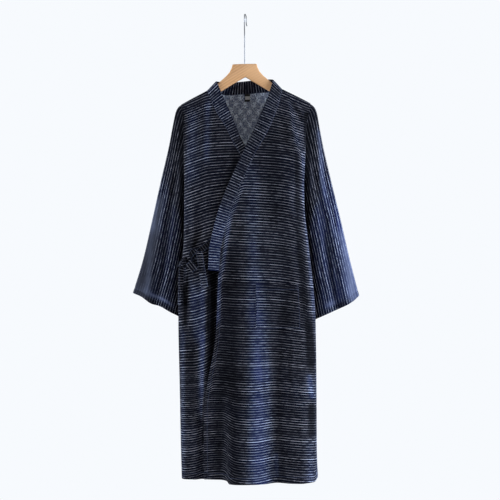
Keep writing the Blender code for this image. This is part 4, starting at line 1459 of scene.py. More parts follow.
@dataclass
class Sleeves:
    """Both sleeves: tubes that hang folded flat, with their stripes running lengthwise."""

    form: RobeForm
    maker: ClothMaker
    finish: Material
    inside: Material
    columns: int = 112
    rows: int = 132
    swell: float = 0.8
    armhole_blend: float = 6.0
    cuff_hem: float = 17.0
    hem: Range = (0.7, 2.2, 0.4, 6.0)
    flat: Pair = (0.32, 0.60)
    cut_area: float = 0.145
    tuck: float = -0.6
    slack: float = 0.5
    slack_reach: float = 0.5
    opening: Triple = (0.02, 0.1, 1.8)
    seam_swell: float = 3.0
    behind_from: float = 1.07
    ripple: float = 0.4
    ripple_often: tuple[Pair, Pair] = ((23.0, 9.0), (4.0, 31.0))
    stripe_start: float = 3.0
    wave_from: float = 0.84
    # painted shade on the inner side of the sleeve, next to the body, as far out as the shade share below
    inner_painted_shading: float = -0.95
    inner_blend: float = 0.16
    inner_start: Pair = (0.1, 0.2)
    shade: Pair = (0.42, 0.06)
    shade_reach: float = 0.7
    # painted shade along the top of the sleeve
    top_painted_shade: float = -0.5
    top_reach: Pair = (0.42, 0.14)
    # darker along the cuff's hem band
    hem_darkening: float = -0.3
    hem_blend: float = 3.0
    least: float = 1e-9
    # painted light over the lower sleeve, for the viewer's left and right sleeve
    whole_painted_light: Pair = (0.6, 0.95)
    whole_reach: Pair = (0.12, 0.3)
    fold_ends: tuple[float, float, int] = (-0.08, 1.06, 240)
    fold_pieces: tuple[int, ...] = (40, 20, -14, -34)
    fold_step: float = 0.095
    right_cuff: Track = Track(
        (0, 0), (0.175, 2.8), (0.35, -3.5), (0.56, 2.6), (0.74, 0), (0.88, -0.5), (1, 4),
    )
    left_cuff: Track = Track((0, 0), (0.13, -7.5), (0.28, -9), (0.5, -7.4), (0.7, -5.5), (1, -4))
    # painted light (positive) and painted shade (negative) in bands on each sleeve
    right_sleeve_painted_shading: Bands = folds_of(
        (-275, -560, -296, -740, 10, 0.2, 0.3), (-296, -740, -304, -870, 11, 0.3, 0.4),
        (-284, -668, -318, -850, 24, -0.35, -0.35, 4),
    ) + creases_of(
        (-306, -856, -216, -905, 5, 1.2),
    )
    left_sleeve_painted_shading: Bands = folds_of(
        (227, -350, 238, -460, 10, 1.3, 1.3, 3), (238, -460, 242, -560, 10, 1.2, 0.9, 3),
        (242, -560, 251, -690, 9, 0.9, 0.3, 3), (281, -590, 298, -665, 9, 0.4, 0.7),
        (298, -665, 318, -748, 12, 0.7, 0.9), (318, -748, 344, -880, 16, 0.9, 1),
        (278, -790, 302, -880, 12, 0.2, 0.5),
    ) + creases_of(
        (244, -902, 290, -881, 6, 0.9),
    )
    # bands where the pale lines are flattened towards a level that follows the painted light, part of the
    # painted light and shade
    right_dims: Bands = folds_of(
        (-266, -560, -284, -668, 17, 0.6, 0.9, 6), (-284, -668, -312, -811, 21, 0.9, 0.9, 6),
        (-312, -811, -326, -890, 27, 0.9, 0.8, 6),
    ) + creases_of(
        (-304, -857, -222, -902, 5, 0.6),
    )
    left_dims: Bands = folds_of(
        (227, -350, 242, -560, 9, 0.3, 0.25, 3), (298, -665, 318, -748, 12, 0.3, 0.5),
        (318, -748, 344, -890, 16, 0.5, 0.7),
    ) + creases_of(
        (250, -900, 288, -882, 6, 0.5),
    )
    # painted shade on the sleeve beside the body's side, below the shoulder
    body_shade_reach: float = 18.0
    body_shade_blend: float = 10.0
    body_shade_from: float = -315.0
    body_shade_rise: float = 60.0
    outer_at: Row = (0, 0.025, 0.05, 0.075, 0.1, 0.2, 0.4, 0.6, 0.8, 1)
    inner_at: Row = (0, 0.1, 0.2, 0.4, 0.6, 0.8, 1)
    right_lines: tuple[Row, ...] = (
        (-194, -204.5, -212, -216.5, -222.5, -234, -261.5, -289.5, -318, -350),
        (-278, -286, -299, -316, -344, -400, -513, -636, -757, -863),
        (-188.2, -188.8, -186, -183, -184.5, -188, -190), (-528, -572, -614, -697, -779, -862, -944),
    )
    left_lines: tuple[Row, ...] = (
        (203, 214, 222, 226.5, 232.5, 244.5, 271.5, 301, 329, 358.5),
        (-275.5, -283.5, -297, -315, -350, -408, -519, -637, -757, -871),
        (185.2, 186.5, 186.5, 191, 195, 199, 204), (-528, -573, -617, -701, -784, -868, -950),
    )
    depth: Track = Track((0, 20), (0.1, 19), (0.2, 19), (0.4, 20), (0.6, 21), (0.8, 21), (1, 20))
    middle: Track = Track((0, 0), (0.1, 8), (0.2, 18), (0.4, 31), (0.6, 38), (0.8, 42), (1, 42))
    long_creases: tuple[Row, ...] = (
        (0.3, 0.26, 0.1, 2, 5), (0.55, 0.52, 0.09, -4, -6), (0.74, 0.76, 0.08, 2, 4),
    )
    fine: Creases = creases_of(
        (0.1, 0.02, 0.34, 0.2, 0.035, 2.2, 0.02), (0.3, 0.03, 0.6, 0.22, 0.04, -2, 0.03),
        (0.16, 0.24, 0.2, 0.62, 0.035, 1.8, 0.01), (0.42, 0.3, 0.4, 0.74, 0.03, 2, -0.02),
        (0.64, 0.2, 0.66, 0.6, 0.035, -2, 0.02), (0.86, 0.3, 0.84, 0.7, 0.03, -1.8, 0.01),
        (0.62, 0.62, 0.6, 0.97, 0.03, 1.8, 0.01), (0.34, 0.6, 0.37, 0.98, 0.025, -1.8, 0.01),
        (0.12, 0.64, 0.13, 0.98, 0.03, -1.4, 0), (0.7, 0.06, 0.95, 0.16, 0.035, 1.8, 0.02),
    )

    def grid(self, side: int) -> ClothGrid:
        """Lays out one sleeve, columns round it and rows along it.

        Args:
            side: -1 for the viewer's left, 1 for the right.

        Returns:
            Its grid.
        """
        form = self.form
        keys = (self.outer_at, self.outer_at, self.inner_at, self.inner_at)
        lines = self.right_lines if side < 0 else self.left_lines
        outer_x, outer_z, inner_x, inner_z = (Track(*zip(*both)) for both in zip(keys, lines))
        u = np.linspace(0.0, 1.0, self.columns)[None, :]
        v = np.linspace(0.0, 1.0, self.rows)[:, None]
        across = 0.5 + 0.5 * np.cos(2 * math.pi * u) + 0.0 * v
        swell = np.abs(np.sin(2 * math.pi * u)) + 0.0 * v
        front = np.broadcast_to(u < 0.5, across.shape)
        x = mix(outer_x(v), inner_x(v), across)
        z = mix(outer_z(v), inner_z(v), across)
        depth = self.depth(v) * swell**self.swell
        for top, low, width, top_height, low_height in self.long_creases:
            middle = mix(top, low, v)
            off = (1 - across - np.where(front, middle, 1 - middle)) / width
            depth = depth + mix(top_height, low_height, v) * swell * np.exp(-(off**2))
        start, reach, swollen = self.opening
        open_share = ease((v - start) / reach) * np.minimum(1.0, swollen * swell)
        outwards = 1 - across
        depth = depth * np.where(front, mix(self.slack, 1.0, ease(outwards / self.slack_reach)), 1.0)
        for crease in self.fine:
            seen = crease.height(np.where(front, outwards, self.behind_from - outwards), v + 0.0 * outwards)
            depth = depth + seen * open_share
        waves = [np.sin(outwards * round_it + v * along_it) for round_it, along_it in self.ripple_often]
        depth = depth + self.ripple * open_share * waves[0] * waves[1]
        joined = (1 - v) ** self.armhole_blend
        ends = [float(track(0.0)) for track in (outer_x, outer_z, inner_x)]
        seam_z = mix(ends[1], form.underarm_z, across)
        seam_x = form.side_x(seam_z, side) + side * self.tuck
        x = x + (seam_x - mix(ends[0], ends[2], across)) * joined
        shoulder = form.half_depth(form.side_x(seam_z, side), seam_z, Face.OUTER)
        armhole = np.minimum(form.armhole(seam_z), shoulder)
        depth = mix(depth, armhole * ease(swell * self.seam_swell), joined)
        y = self.middle(v) + np.where(front, -depth, depth)
        place = np.stack([x, y, z], axis=2)
        run = arc_length(place, 0)[:, [self.columns // 2]] + 0.0 * x
        ring = self.from_fold(place, outer_x, outer_z)
        cuff = (run[-1:, :] - run) - self.cuff_hem
        cut = np.stack([run, ring + self.stripe_start], axis=2)
        sewing = np.stack([ring, cuff], axis=2)
        normal = np.cross(np.gradient(place, axis=1), np.gradient(place, axis=0)) * -side
        normal /= np.maximum(np.linalg.norm(normal, axis=2, keepdims=True), self.least)
        place = place + normal * hem_relief(cuff, self.hem)[:, :, None]
        edge_wave = self.right_cuff if side < 0 else self.left_cuff
        place[:, :, 2] += edge_wave(across) * ease((v - self.wave_from) / (1 - self.wave_from))
        place[:, -1] = place[:, 0]
        # painted light and shade: bands, light over the lower sleeve, shade along the top, on the inner side
        # and beside the body, and a darker cuff hem
        dims = self.right_dims if side < 0 else self.left_dims
        dim = sum(band.height(x, z) for band in dims)
        bands = self.right_sleeve_painted_shading if side < 0 else self.left_sleeve_painted_shading
        whole = self.whole_painted_light[0 if side < 0 else 1] * ease((v - self.whole_reach[0]) / self.whole_reach[1])
        fade = sum(band.height(x, z) for band in bands) + whole
        fade = fade + self.top_painted_shade * ease((self.top_reach[0] - v) / self.top_reach[1])
        shaded = mix(*self.shade, ease(v / self.shade_reach))
        start, rise = self.inner_start
        fade = fade + self.inner_painted_shading * ease((shaded - outwards) / self.inner_blend) * ease(v / start + rise)
        # painted shade beside the body
        beside = np.abs(x) - np.abs(form.side_x(z, side))
        dark = ease((self.body_shade_reach - beside) / self.body_shade_blend)
        fade = fade - dark * ease((self.body_shade_from - z) / self.body_shade_rise)
        fade = np.maximum(fade + self.hem_darkening * ease(-cuff / self.hem_blend), -1.0)
        return ClothGrid(place, cut, sewing, fade, dim).turned(-side, 1)

    def from_fold(self, place: Array, outer_x: Track, outer_z: Track) -> Array:
        """Walks over the cloth from the sleeve's outer fold, square to that fold.

        Args:
            place: the sleeve's places.
            outer_x: where that fold runs, across the robe.
            outer_z: its heights.

        Returns:
            The distance of each place.
        """
        v = np.linspace(*self.fold_ends)
        held = np.clip(v, 0.0, 1.0)
        beyond = (v - held)[:, None]
        fold = np.stack([outer_x(held), outer_z(held)], axis=1)
        piece = [fold[number] for number in self.fold_pieces]
        ends = np.where(v[:, None] < 0, piece[0] - piece[1], piece[2] - piece[3])
        fold = fold + beyond * ends / self.fold_step
        flat = place[:, :, [0, 2]]
        away = np.sqrt(((flat[:, :, None, :] - fold) ** 2).sum(axis=3)).min(axis=2)
        step = np.hypot(np.diff(away, axis=1), np.diff(place[:, :, 1], axis=1))
        walked = np.insert(np.cumsum(step, axis=1), 0, 0.0, axis=1)
        return np.abs(walked - walked[:, [self.columns // 2]])

    def build(self) -> None:
        """Makes both sleeves, each in place of its node."""
        for node, side in (("right_sleeve", -1), ("left_sleeve", 1)):
            cloth, wall = self.grid(side), self.form.cloth
            piece = self.maker.sheet(f"{node}_cloth", cloth, wall, self.finish, self.inside, tube=True)
            self.maker.seat(piece, node, "striped_cloth")


@dataclass
class Collar:
    """The doubled strip down the outer front, round the neck and down the inner front."""

    form: RobeForm
    maker: ClothMaker
    finish: Material
    wall: float = 3.0
    gap: float = -1.2
    clear: float = 10.5
    seam_reach: float = 12.0
    stand_start_z: float = -330.0
    stand_rise: float = 95.0
    stand: Pair = (-0.70, 0.71)
    columns: int = 15
    spacing: float = 4.0
    rim: float = 0.9
    first_share: float = 0.007
    crowding: float = 1.3
    front_rows_each: Pair = (60, 90)
    neck_rows_all: int = 61
    smoothing: Row = (1 / 16, 4 / 16, 6 / 16, 4 / 16, 1 / 16)
    smoothings: int = 2
    stripe_start: float = 7.0
    stitch_off: float = 2.2
    flat: Pair = (0.043, 1.60)
    outer_width: Track = Track(
        (-236, 42.5), (-284, 41), (-339, 43.5), (-377, 41.5), (-412, 39), (-455, 35), (-496, 36),
        (-800, 34.5),
    )
    inner_width: Track = Track(
        (-236, 43), (-300, 40), (-322, 37), (-360, 31), (-386, 29), (-410, 28), (-800, 31),
    )
    lean_x: Track = Track((0, 0), (30, -0.12), (62, -0.28), (92, -0.48), (109, -0.62), (117, -0.70))
    lean_y: Track = Track((0, -0.16), (30, -0.16), (62, -0.16), (92, -0.12), (109, -0.06), (117, 0))
    lean_z: Track = Track((0, 0.99), (30, 0.98), (62, 0.95), (92, 0.87), (109, 0.78), (117, 0.71))
    neck_width: Track = Track((0, 40), (62, 40), (92, 41), (109, 42), (117, 43))
    # painted light down the outer front, round the neck and on the inner front near the shoulder
    outer_painted_light: Track = Track((-236, 0.2), (-400, 0.2), (-560, 0.4), (-640, 0.9), (-700, 1.15), (-800, 1.3))
    neck_painted_light: float = 0.6
    inner_painted_shading: Track = Track((-236, 0.4), (-300, 0.45), (-410, 0.1))

    def front_rows(self, side: int) -> Array:
        """Lays out the collar beside one front.

        Args:
            side: 1 for the outer front, -1 for the inner one.

        Returns:
            Rows of places across the collar, from the shoulder down.
        """
        form = self.form
        edge_track, width, face = {
            1: (form.outer_edge, self.outer_width, Face.OUTER),
            -1: (form.inner_edge, self.inner_width, Face.INNER),
        }[side]
        top = float(form.ridge_z(np.array(side * (form.neck_x + form.seam_gap))))
        shares = np.linspace(self.first_share, 1.0, self.front_rows_each[0]) ** self.crowding
        lower = np.linspace(form.level_z, form.collar_end_z, self.front_rows_each[1])[1:]
        heights = np.concatenate([mix(top, form.level_z, shares), lower])
        rows = []
        for z in heights:
            x = float(edge_track(z)) + side * 2 * form.seam_gap
            edge = np.array([x, float(form.y_of(x, z, face)), z])
            slope = float(edge_track(z + self.seam_reach) - edge_track(z - self.seam_reach))
            slope = slope / (2 * self.seam_reach)
            lean = np.array([-side, 0.0, side * slope])
            lean /= np.linalg.norm(lean)
            stand = np.array([self.stand[0] * side, 0.0, self.stand[1]])
            lean = mix(lean, stand, float(ease((z - self.stand_start_z) / self.stand_rise)))
            lean /= np.linalg.norm(lean)
            seam = edge + lean * self.gap
            share = np.linspace(0.0, 1.0, self.columns)[:, None]
            points = seam + lean * float(width(z)) * share
            lying = form.y_of(points[:, 0], points[:, 2], face)
            standing = mix(seam[1], -self.clear, share[:, 0])
            points[1:, 1] = np.minimum(lying, standing)[1:]
            rows.append(points)
        return np.array(rows)

    def neck_rows(self) -> Array:
        """Lays out the collar round the back of the neck.

        Returns:
            Rows of places across it, from the outer front's side.
        """
        form = self.form
        rows = []
        for x in np.linspace(form.neck_x, -form.neck_x, self.neck_rows_all):
            lean = np.array([float(track(abs(x))) for track in (self.lean_x, self.lean_y, self.lean_z)])
            lean[0] = math.copysign(lean[0], -x) * (1 if x else 0)
            lean /= np.linalg.norm(lean)
            z = float(form.neckline_z(np.array(x)))
            y = 0.0 if math.isclose(abs(x), form.neck_x) else float(form.y_of(np.array(x), z, Face.BACK))
            seam = np.array([x, y, z]) + lean * self.gap
            share = np.linspace(0.0, 1.0, self.columns)[:, None]
            rows.append(seam + lean * float(self.neck_width(abs(x))) * share)
        return np.array(rows)

    def grid(self) -> ClothGrid:
        """Lays out the whole collar, its rows evenly spaced and smoothed along it.

        Returns:
            Its grid.
        """
        rows = np.concatenate([self.front_rows(1)[::-1], self.neck_rows(), self.front_rows(-1)])
        walked = arc_length(rows, 0)[:, self.columns // 2]
        count = int(walked[-1] / self.spacing)
        at = np.linspace(0.0, walked[-1], count)
        even = np.stack(
            [[np.interp(at, walked, rows[:, c, axis]) for axis in range(3)] for c in range(self.columns)]
        ).transpose(2, 0, 1)
        for _ in range(self.smoothings):
            padded = np.concatenate([even[:1], even[:1], even, even[-1:], even[-1:]])
            smooth = sum(share * padded[k : k + count] for k, share in enumerate(self.smoothing))
            smooth[0], smooth[-1] = even[0], even[-1]
            even = smooth
        width = arc_length(even, 1)
        run = np.repeat(at[:, None], self.columns, axis=1)
        cut = np.stack([width + self.stripe_start, run], axis=2)
        sewing = np.stack([run, width - self.stitch_off], axis=2)
        x, z = even[:, :, 0], even[:, :, 2]
        # painted light along the collar, by height, and where it lies round the neck
        fade = np.where(run < walked[-1] / 2, self.outer_painted_light(z), self.inner_painted_shading(z))
        fade = np.where(even[:, :, 1] > -self.clear, self.neck_painted_light, fade) + 0.0 * x
        return ClothGrid(even, cut, sewing, fade).turned(1, -1)

    def build(self) -> None:
        """Makes the collar in place of its node."""
        piece = self.maker.sheet("collar_cloth", self.grid(), self.wall, self.finish, rim=self.rim)
        self.maker.seat(piece, "collar", "collar_cloth")


@dataclass(frozen=True)
class Ribbon:
    """One length of tie.

    Each point is its X and Z, how far it lies off the cloth, and which way it is wide.
    """

    node: str
    width: float
    flat: Pair
    # painted shade and painted light at its two ends, blended along it
    painted_shading_ends: Pair
    points: tuple[Row, ...]


@dataclass
class Ties:
    """The two ties and their knot at the wearer's right side."""

    form: RobeForm
    maker: ClothMaker
    finish: Material
    wall: float = 2.2
    limit_x: float = -188.0
    columns: int = 13
    rows_each: int = 9
    rim: float = 0.7
    cup: Triple = (0.9, 1.3, 0.6)
    stripe_start: float = 50.0
    stitch_in: float = 2.0
    knot_centre: Pair = (-181.0, -762.0)
    knot_lift: float = 17.0
    knot_size: Triple = (21.0, 17.0, 29.0)
    knot_turn: float = math.radians(-28.0)
    # painted shade over the knot
    knot_painted_shade: float = -0.6
    knot_fill: float = 0.8
    knot_mesh: tuple[int, int] = (72, 44)
    knot_full: float = 0.97
    knot_pleats: tuple[Triple, ...] = ((11.0, 3.2, 0.035), (5.0, -2.0, 0.03))
    knot_waists: tuple[Range, ...] = ((-0.10, 0.30, 0.22, 0.10), (-0.09, -0.34, 0.20, 0.09))
    knot_stripe: Pair = (9.0, 4.0)
    ribbons: tuple[Ribbon, ...] = (
        Ribbon(
            "tie_strap", 21.0, (0.021, 0.093), (-0.9, -0.75),
            (
                (-92, -695, 8.2, 0.58, 0, -0.81), (-108, -708, 8.2, 0.58, 0, -0.81),
                (-124, -721, 7.5, 0.6, 0, -0.8), (-141, -734, 7, 0.6, 0, -0.8),
                (-153, -744, 13.6, 0.58, 0.1, -0.81), (-163, -753, 15.2, 0.56, 0.1, -0.81),
            ),
        ),
        Ribbon(
            "tie_tail_right", 21.0, (0.021, 0.142), (-1.1, 0.6),
            (
                (-166, -747, 20.1, 0.4, 0, -0.91), (-158, -735, 21, 0.55, 0, -0.83),
                (-150, -728, 20.5, 0.75, 0, -0.66), (-141, -730, 20, 0.95, 0, -0.3),
                (-136, -745, 18, 1, 0, 0), (-132.5, -768, 15, 0.99, 0, 0.08),
                (-127, -800, 13, 0.99, 0, 0.13), (-120.5, -840, 14, 0.99, 0, 0.13),
            ),
        ),
        Ribbon(
            "tie_tail_left", 21.0, (0.021, 0.121), (-0.6, 0.3),
            (
                (-187, -778.2, 17, 0.95, 0, -0.3), (-191, -791, 14, 0.9, 0.3, -0.17),
                (-194, -808, 11.5, 0.78, 0.6, -0.08), (-195.5, -835, 11, 0.66, 0.75, -0.03),
                (-196, -866, 11, 0.66, 0.75, 0), (-196, -896, 11, 0.7, 0.71, 0),
            ),
        ),
        Ribbon(
            "tie_loop_right", 33.0, (0.033, 0.036), (-0.4, -0.6),
            (
                (-159.5, -778, 13, 0.62, 0, -0.78), (-156.5, -775, 13, 0.62, 0, -0.78),
                (-153, -772, 13.5, 0.62, 0, -0.78), (-152.5, -770.5, 16, 0.62, 0, -0.78),
                (-153.5, -771.5, 20.5, 0.62, 0, -0.78), (-156.5, -775, 23, 0.62, 0, -0.78),
                (-161.5, -779, 23, 0.62, 0, -0.78), (-167.5, -784, 20.5, 0.62, 0, -0.78),
            ),
        ),
        Ribbon(
            "tie_side", 16.0, (0.016, 0.027), (-0.6, -0.6),
            (
                (-203, -773, -1, 0.4, 0, 0.92), (-199, -771, 7, 0.3, 0, 0.95),
                (-191, -766, 17, 0.3, 0, 0.95),
            ),
        ),
    )

    def grid(self, ribbon: Ribbon) -> ClothGrid:
        """Lays out one length of tie, columns across it and rows along it.

        Args:
            ribbon: the length of tie.

        Returns:
            Its grid.
        """
        count = (len(ribbon.points) - 1) * self.rows_each + 1
        v = np.linspace(0.0, len(ribbon.points) - 1, count)
        tracks = [Track(*enumerate(row[c] for row in ribbon.points)) for c in range(6)]
        x, z, lift, wide_x, wide_y, wide_z = (track(v)[:, None] for track in tracks)
        wide = np.concatenate([wide_x, wide_y, wide_z], axis=1)
        wide /= np.linalg.norm(wide, axis=1, keepdims=True)
        share = np.linspace(-0.5, 0.5, self.columns)[None, :]
        x = x + wide[:, :1] * share * ribbon.width
        z = z + wide[:, 2:] * share * ribbon.width
        under = self.form.y_of(np.maximum(x, self.limit_x), z, Face.INNER)
        deep, often, start = self.cup
        cup = deep * (2 * share) ** 2 * np.sin(v[:, None] * often + start)
        y = under - lift + wide[:, 1:2] * share * ribbon.width + cup
        place = np.stack([x, y, z], axis=2)
        run = arc_length(place, 0)[:, [self.columns // 2]] + 0.0 * x
        over = share * ribbon.width + 0.0 * x
        cut = np.stack([over + self.stripe_start, run], axis=2)
        sewing = np.stack([run, ribbon.width / 2 - self.stitch_in - np.abs(over)], axis=2)
        # painted shade and light, blended along the tie
        fade = mix(*ribbon.painted_shading_ends, v[:, None] / v[-1]) + 0.0 * x
        return ClothGrid(place, cut, sewing, fade).turned(1, -1)

    def knot(self) -> None:
        """Makes the knot in place of its node: gathered cloth wound round itself."""
        self.maker.clear()
        x, z = self.knot_centre
        y = float(self.form.y_of(np.array(x), np.array(z), Face.INNER)) - self.knot_lift
        segments, rings = self.knot_mesh
        bpy.ops.mesh.primitive_uv_sphere_add(segments=segments, ring_count=rings, radius=0.5, calc_uvs=False)
        obj = bpy.context.object
        obj.name = "knot_cloth"
        mesh = obj.data
        points = np.empty(len(mesh.vertices) * 3, dtype=np.float32)
        mesh.vertices.foreach_get("co", points)
        points = points.reshape(-1, 3).astype(float)
        turn = np.arctan2(points[:, 0], -points[:, 1])
        high = points[:, 2] * 2
        pleat = sum(np.sin(turn * count + high * twist) * rise for count, twist, rise in self.knot_pleats)
        waist = sum(
            deep * np.exp(-(((high - at - sway * np.sin(turn)) / width) ** 2))
            for deep, at, sway, width in self.knot_waists
        )
        scale = self.knot_full + pleat * (1 - high**2) ** 0.5 + waist
        size = np.array(self.knot_size)
        local = points * scale[:, None] * size
        cos, sin = math.cos(self.knot_turn), math.sin(self.knot_turn)
        tilt = np.array([[cos, 0.0, sin], [0.0, 1.0, 0.0], [-sin, 0.0, cos]])
        wide, sway = self.knot_stripe
        run = np.stack([turn * wide, local[:, 2] + sway * np.sin(turn)], axis=1)
        maps = {"cut": run, "sewing": np.full_like(run, FAR)}
        self.maker.lay(mesh, local @ tilt.T + np.array([x, y, z]), maps)
        # painted shade over the whole knot
        self.maker.measure(mesh, "fade", np.full(len(mesh.vertices), self.knot_painted_shade))
        mesh.materials.append(self.finish)
        bpy.ops.object.shade_smooth()
        self.maker.seat(obj, "tie_knot", "collar_cloth")

    def build(self) -> None:
        """Makes the five lengths of tie and the knot, each in place of its node."""
        for ribbon in self.ribbons:
            cloth = self.grid(ribbon)
            piece = self.maker.sheet(f"{ribbon.node}_cloth", cloth, self.wall, self.finish, rim=self.rim)
            self.maker.seat(piece, ribbon.node, "collar_cloth")
        self.knot()


@dataclass
class Label:
    """A small woven label under the collar at the back of the neck."""

    form: RobeForm
    maker: ClothMaker
    finish: Material
    wall: float = 1.0
    left: float = -0.5
    right: float = 17.0
    top: float = -240.0
    low: float = -263.0
    grid: tuple[int, int] = (24, 20)
    curl: Pair = (0.8, 0.5)
    flat: Pair = (0.019, 0.023)

    def build(self) -> None:
        """Makes the label in place of its node."""
        rows, columns = self.grid
        u = np.linspace(0.0, 1.0, columns)[None, :]
        v = np.linspace(0.0, 1.0, rows)[:, None]
        x = mix(self.left, self.right, u) + 0.0 * v
        z = mix(self.top, self.low, v) + 0.0 * u
        curl = self.curl[0] * v**2 * (1 - (2 * u - 1) ** 2) + self.curl[1] * v**3
        y = self.form.y_of(x, z, Face.BACK) - self.form.cloth - 2 * self.form.seam_gap - curl
        place = np.stack([x, y, z], axis=2)
        cut = np.stack([x - self.left, self.top - z], axis=2)
        cloth = ClothGrid(place, cut).turned(-1, 1)
        piece = self.maker.sheet("label_weave", cloth, self.wall, self.finish)
        self.maker.seat(piece, "label", "label_cloth")


@dataclass
class Hanger:
    """The flat wooden hanger and its bent wire hook."""

    maker: ClothMaker
    wood: Material
    steel: Material
    weld: float = 0.01
    smooth: float = math.radians(35)
    wire: float = 1.6
    bend_radius: float = 16.5
    turn: float = math.radians(16.0)
    back_share: float = 0.15
    sides: int = 18
    rows: int = 150
    arc_rows: int = 13
    dome: Row = (0.0, 0.55, 0.86)
    dome_lead: Row = (0.25, 0.45, 0.55)
    stem: tuple[Pair, ...] = (
        (0, -178), (0, -150), (0, -120), (0, -90), (0, -72),
        (1.6, -60), (6, -49), (12.5, -38), (16.8, -27.5),
    )
    tip: tuple[Pair, ...] = ((-18.1, -23.0), (-18.8, -29.0), (-21.0, -34.5), (-25.0, -39.0))

    def board(self) -> None:
        """Makes the board: the node's own shape, joined up, with smooth rounded edges."""
        self.maker.clear()
        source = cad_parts["hanger"]
        copy = source.copy()
        copy.data = source.data.copy()
        copy.name = "hanger_board"
        bpy.context.scene.collection.objects.link(copy)
        copy.select_set(True)
        bpy.context.view_layer.objects.active = copy
        copy.data.materials.clear()
        copy.data.materials.append(self.wood)
        self.maker.merge(self.weld)
        bpy.ops.object.shade_smooth_by_angle(angle=self.smooth)
        self.maker.seat(copy, "hanger", "beech")

    def hook_line(self) -> Array:
        """Bends the wire's middle line: stem, arc and tip.

        Returns:
            Its points, smooth and closely spaced.
        """
        radius = self.bend_radius + self.wire
        turns = np.linspace(0.0, math.pi, self.arc_rows)
        arc = [(radius * math.cos(t), -self.bend_radius + radius * math.sin(t)) for t in turns]
        flat = np.array([*self.stem, *arc, *self.tip])
        walked = np.insert(np.cumsum(np.linalg.norm(np.diff(flat, axis=0), axis=1)), 0, 0.0)
        at = np.linspace(0.0, walked[-1], self.rows)
        y, z = (Track(*zip(walked, flat[:, c]))(at) for c in (0, 1))
        aside = np.where(y > 0, self.back_share, 1.0) * math.sin(self.turn)
        return np.stack([-aside * y, math.cos(self.turn) * y, z], axis=1)

    def hook(self) -> None:
        """Makes the hook in place of its node: a round wire with a domed end."""
        line = self.hook_line()
        ahead = np.gradient(line, axis=0)
        ahead /= np.linalg.norm(ahead, axis=1, keepdims=True)
        level = np.array([math.cos(self.turn), math.sin(self.turn), 0.0])
        other = np.cross(ahead, level)
        ring = np.linspace(0.0, 2 * math.pi, self.sides + 1)
        ends, between = len(self.dome), np.ones(len(line))
        line, ahead, other = (
            np.concatenate([rows[:1].repeat(ends, 0), rows, rows[-1:].repeat(ends, 0)])
            for rows in (line, ahead, other)
        )
        radius = np.concatenate([self.dome, between, self.dome[::-1]]) * self.wire
        lead = np.concatenate([np.zeros(ends), 0.0 * between, self.dome_lead]) * self.wire
        line = line + ahead * lead[:, None]
        spoke = np.cos(ring)[:, None] * level + np.sin(ring)[:, None] * other[:, None]
        place = line[:, None] + radius[:, None, None] * spoke
        obj = self.maker.grid("hook_wire", ClothGrid(place))
        self.maker.merge(self.maker.weld)
        bpy.ops.object.mode_set(mode="EDIT")
        bpy.ops.mesh.select_all(action="SELECT")
        bpy.ops.mesh.normals_make_consistent(inside=False)
        bpy.ops.object.mode_set(mode="OBJECT")
        obj.data.materials.append(self.steel)
        bpy.ops.object.shade_smooth()
        self.maker.seat(obj, "hook", "bright_wire")

    def build(self) -> None:
        """Makes the hanger and its hook."""
        self.board()
        self.hook()


@dataclass(frozen=True)
class SoftLight:
    """A square panel of soft light."""

    name: str
    place: Triple
    size: float
    watts: float
    colour: Colour = (1.0, 1.0, 1.0)


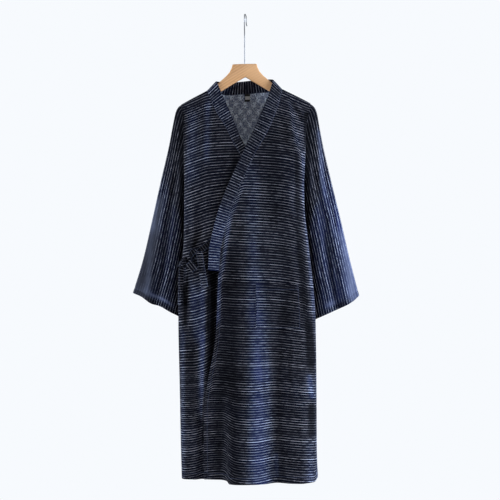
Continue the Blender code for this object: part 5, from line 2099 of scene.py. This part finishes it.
@dataclass
class Studio:
    """A pale floor, plain soft light and the camera."""

    paper: Material
    floor_z: float = -1.9
    floor_radius: float = 1.4
    floor_sides: int = 96
    room: Colour = (0.93, 0.956, 0.99)
    room_behind: float = 0.6
    room_before: float = 0.07
    room_reach: Pair = (-0.9, 0.6)
    aim: Triple = (0.0, 0.0, -0.75)
    camera_place: Triple = (0.0167, -3.0, -0.728)
    lens: float = 69.7
    film: float = 36.0
    lights: tuple[SoftLight, ...] = (
        SoftLight("right light", (2.5, -0.44, -0.3), 1.2, 175.0, (0.72, 0.83, 1.0)),
        SoftLight("left light", (-2.4, -0.50, -0.2), 1.2, 95.0, (0.76, 0.86, 1.0)),
        SoftLight("front light", (0.3, -3.2, 1.2), 1.6, 15.0, (1.0, 0.97, 0.94)),
    )

    def light_room(self, world: bpy.types.World) -> None:
        """A white room, which lights the robe more from behind and the sides than from the front.

        Args:
            world: the scene's world, with its nodes in use.
        """
        nodes, links = world.node_tree.nodes, world.node_tree.links
        seen, around = nodes["Background"], nodes.new("ShaderNodeBackground")
        for background in (seen, around):
            background.inputs["Color"].default_value = (*self.room, 1.0)
        kinds = ("TexCoord", "SeparateXYZ", "MapRange", "LightPath", "MixShader")
        way, parts, strength, ray, both = (nodes.new("ShaderNode" + kind) for kind in kinds)
        numbers = (*self.room_reach, self.room_before, self.room_behind)
        for socket, value in zip(list(strength.inputs)[1:5], numbers):
            socket.default_value = value
        links.new(way.outputs["Generated"], parts.inputs[0])
        links.new(parts.outputs[1], strength.inputs[0])
        links.new(strength.outputs[0], around.inputs["Strength"])
        links.new(ray.outputs["Is Camera Ray"], both.inputs[0])
        links.new(around.outputs[0], both.inputs[1])
        links.new(seen.outputs[0], both.inputs[2])
        links.new(both.outputs[0], nodes["World Output"].inputs["Surface"])

    def build(self) -> None:
        """Lays the floor, hangs the lights and sets the camera."""
        scene = bpy.context.scene
        scene.view_settings.view_transform = "Standard"
        world = scene.world or bpy.data.worlds.new("room")
        scene.world = world
        world.use_nodes = True
        self.light_room(world)
        bpy.ops.object.select_all(action="DESELECT")
        bpy.ops.mesh.primitive_circle_add(
            vertices=self.floor_sides,
            radius=self.floor_radius,
            fill_type="NGON",
            location=(0.0, 0.0, self.floor_z),
        )
        floor = bpy.context.object
        floor.name = "floor"
        floor.data.materials.append(self.paper)
        for light in self.lights:
            lamp = bpy.data.lights.new(light.name, "AREA")
            lamp.size, lamp.energy, lamp.color = light.size, light.watts, light.colour
            obj = bpy.data.objects.new(light.name, lamp)
            obj.location = light.place
            obj.rotation_euler = (Vector(self.aim) - Vector(light.place)).to_track_quat("-Z", "Y").to_euler()
            scene.collection.objects.link(obj)
        camera = bpy.data.cameras.new("camera")
        camera.lens, camera.sensor_width = self.lens, self.film
        scene.camera = bpy.data.objects.new("camera", camera)
        scene.camera.location = self.camera_place
        scene.camera.rotation_euler = (math.pi / 2, 0.0, 0.0)
        scene.collection.objects.link(scene.camera)


def main() -> None:
    """Builds the robe's pieces in order."""
    logging.basicConfig(level=logging.INFO, format="%(name)s %(message)s")
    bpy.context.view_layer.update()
    form, stripes, maker = RobeForm(), StripeRun(), ClothMaker()
    cloth = StripedCloth().build()
    wrong_side = WrongSide().build()
    doubled = StripedCloth(name="doubled cloth", seed=40.0).build()
    BodyPanels(form, stripes, maker, cloth, wrong_side).build()
    Sleeves(form, maker, cloth, wrong_side).build()
    Collar(form, maker, doubled).build()
    Ties(form, maker, doubled).build()
    Label(form, maker, LabelCloth().build()).build()
    Hanger(maker, PaleWood().build(), BrightWire().build()).build()
    Studio(StudioPaper().build()).build()
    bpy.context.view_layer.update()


if __name__ == "__main__":
    main()
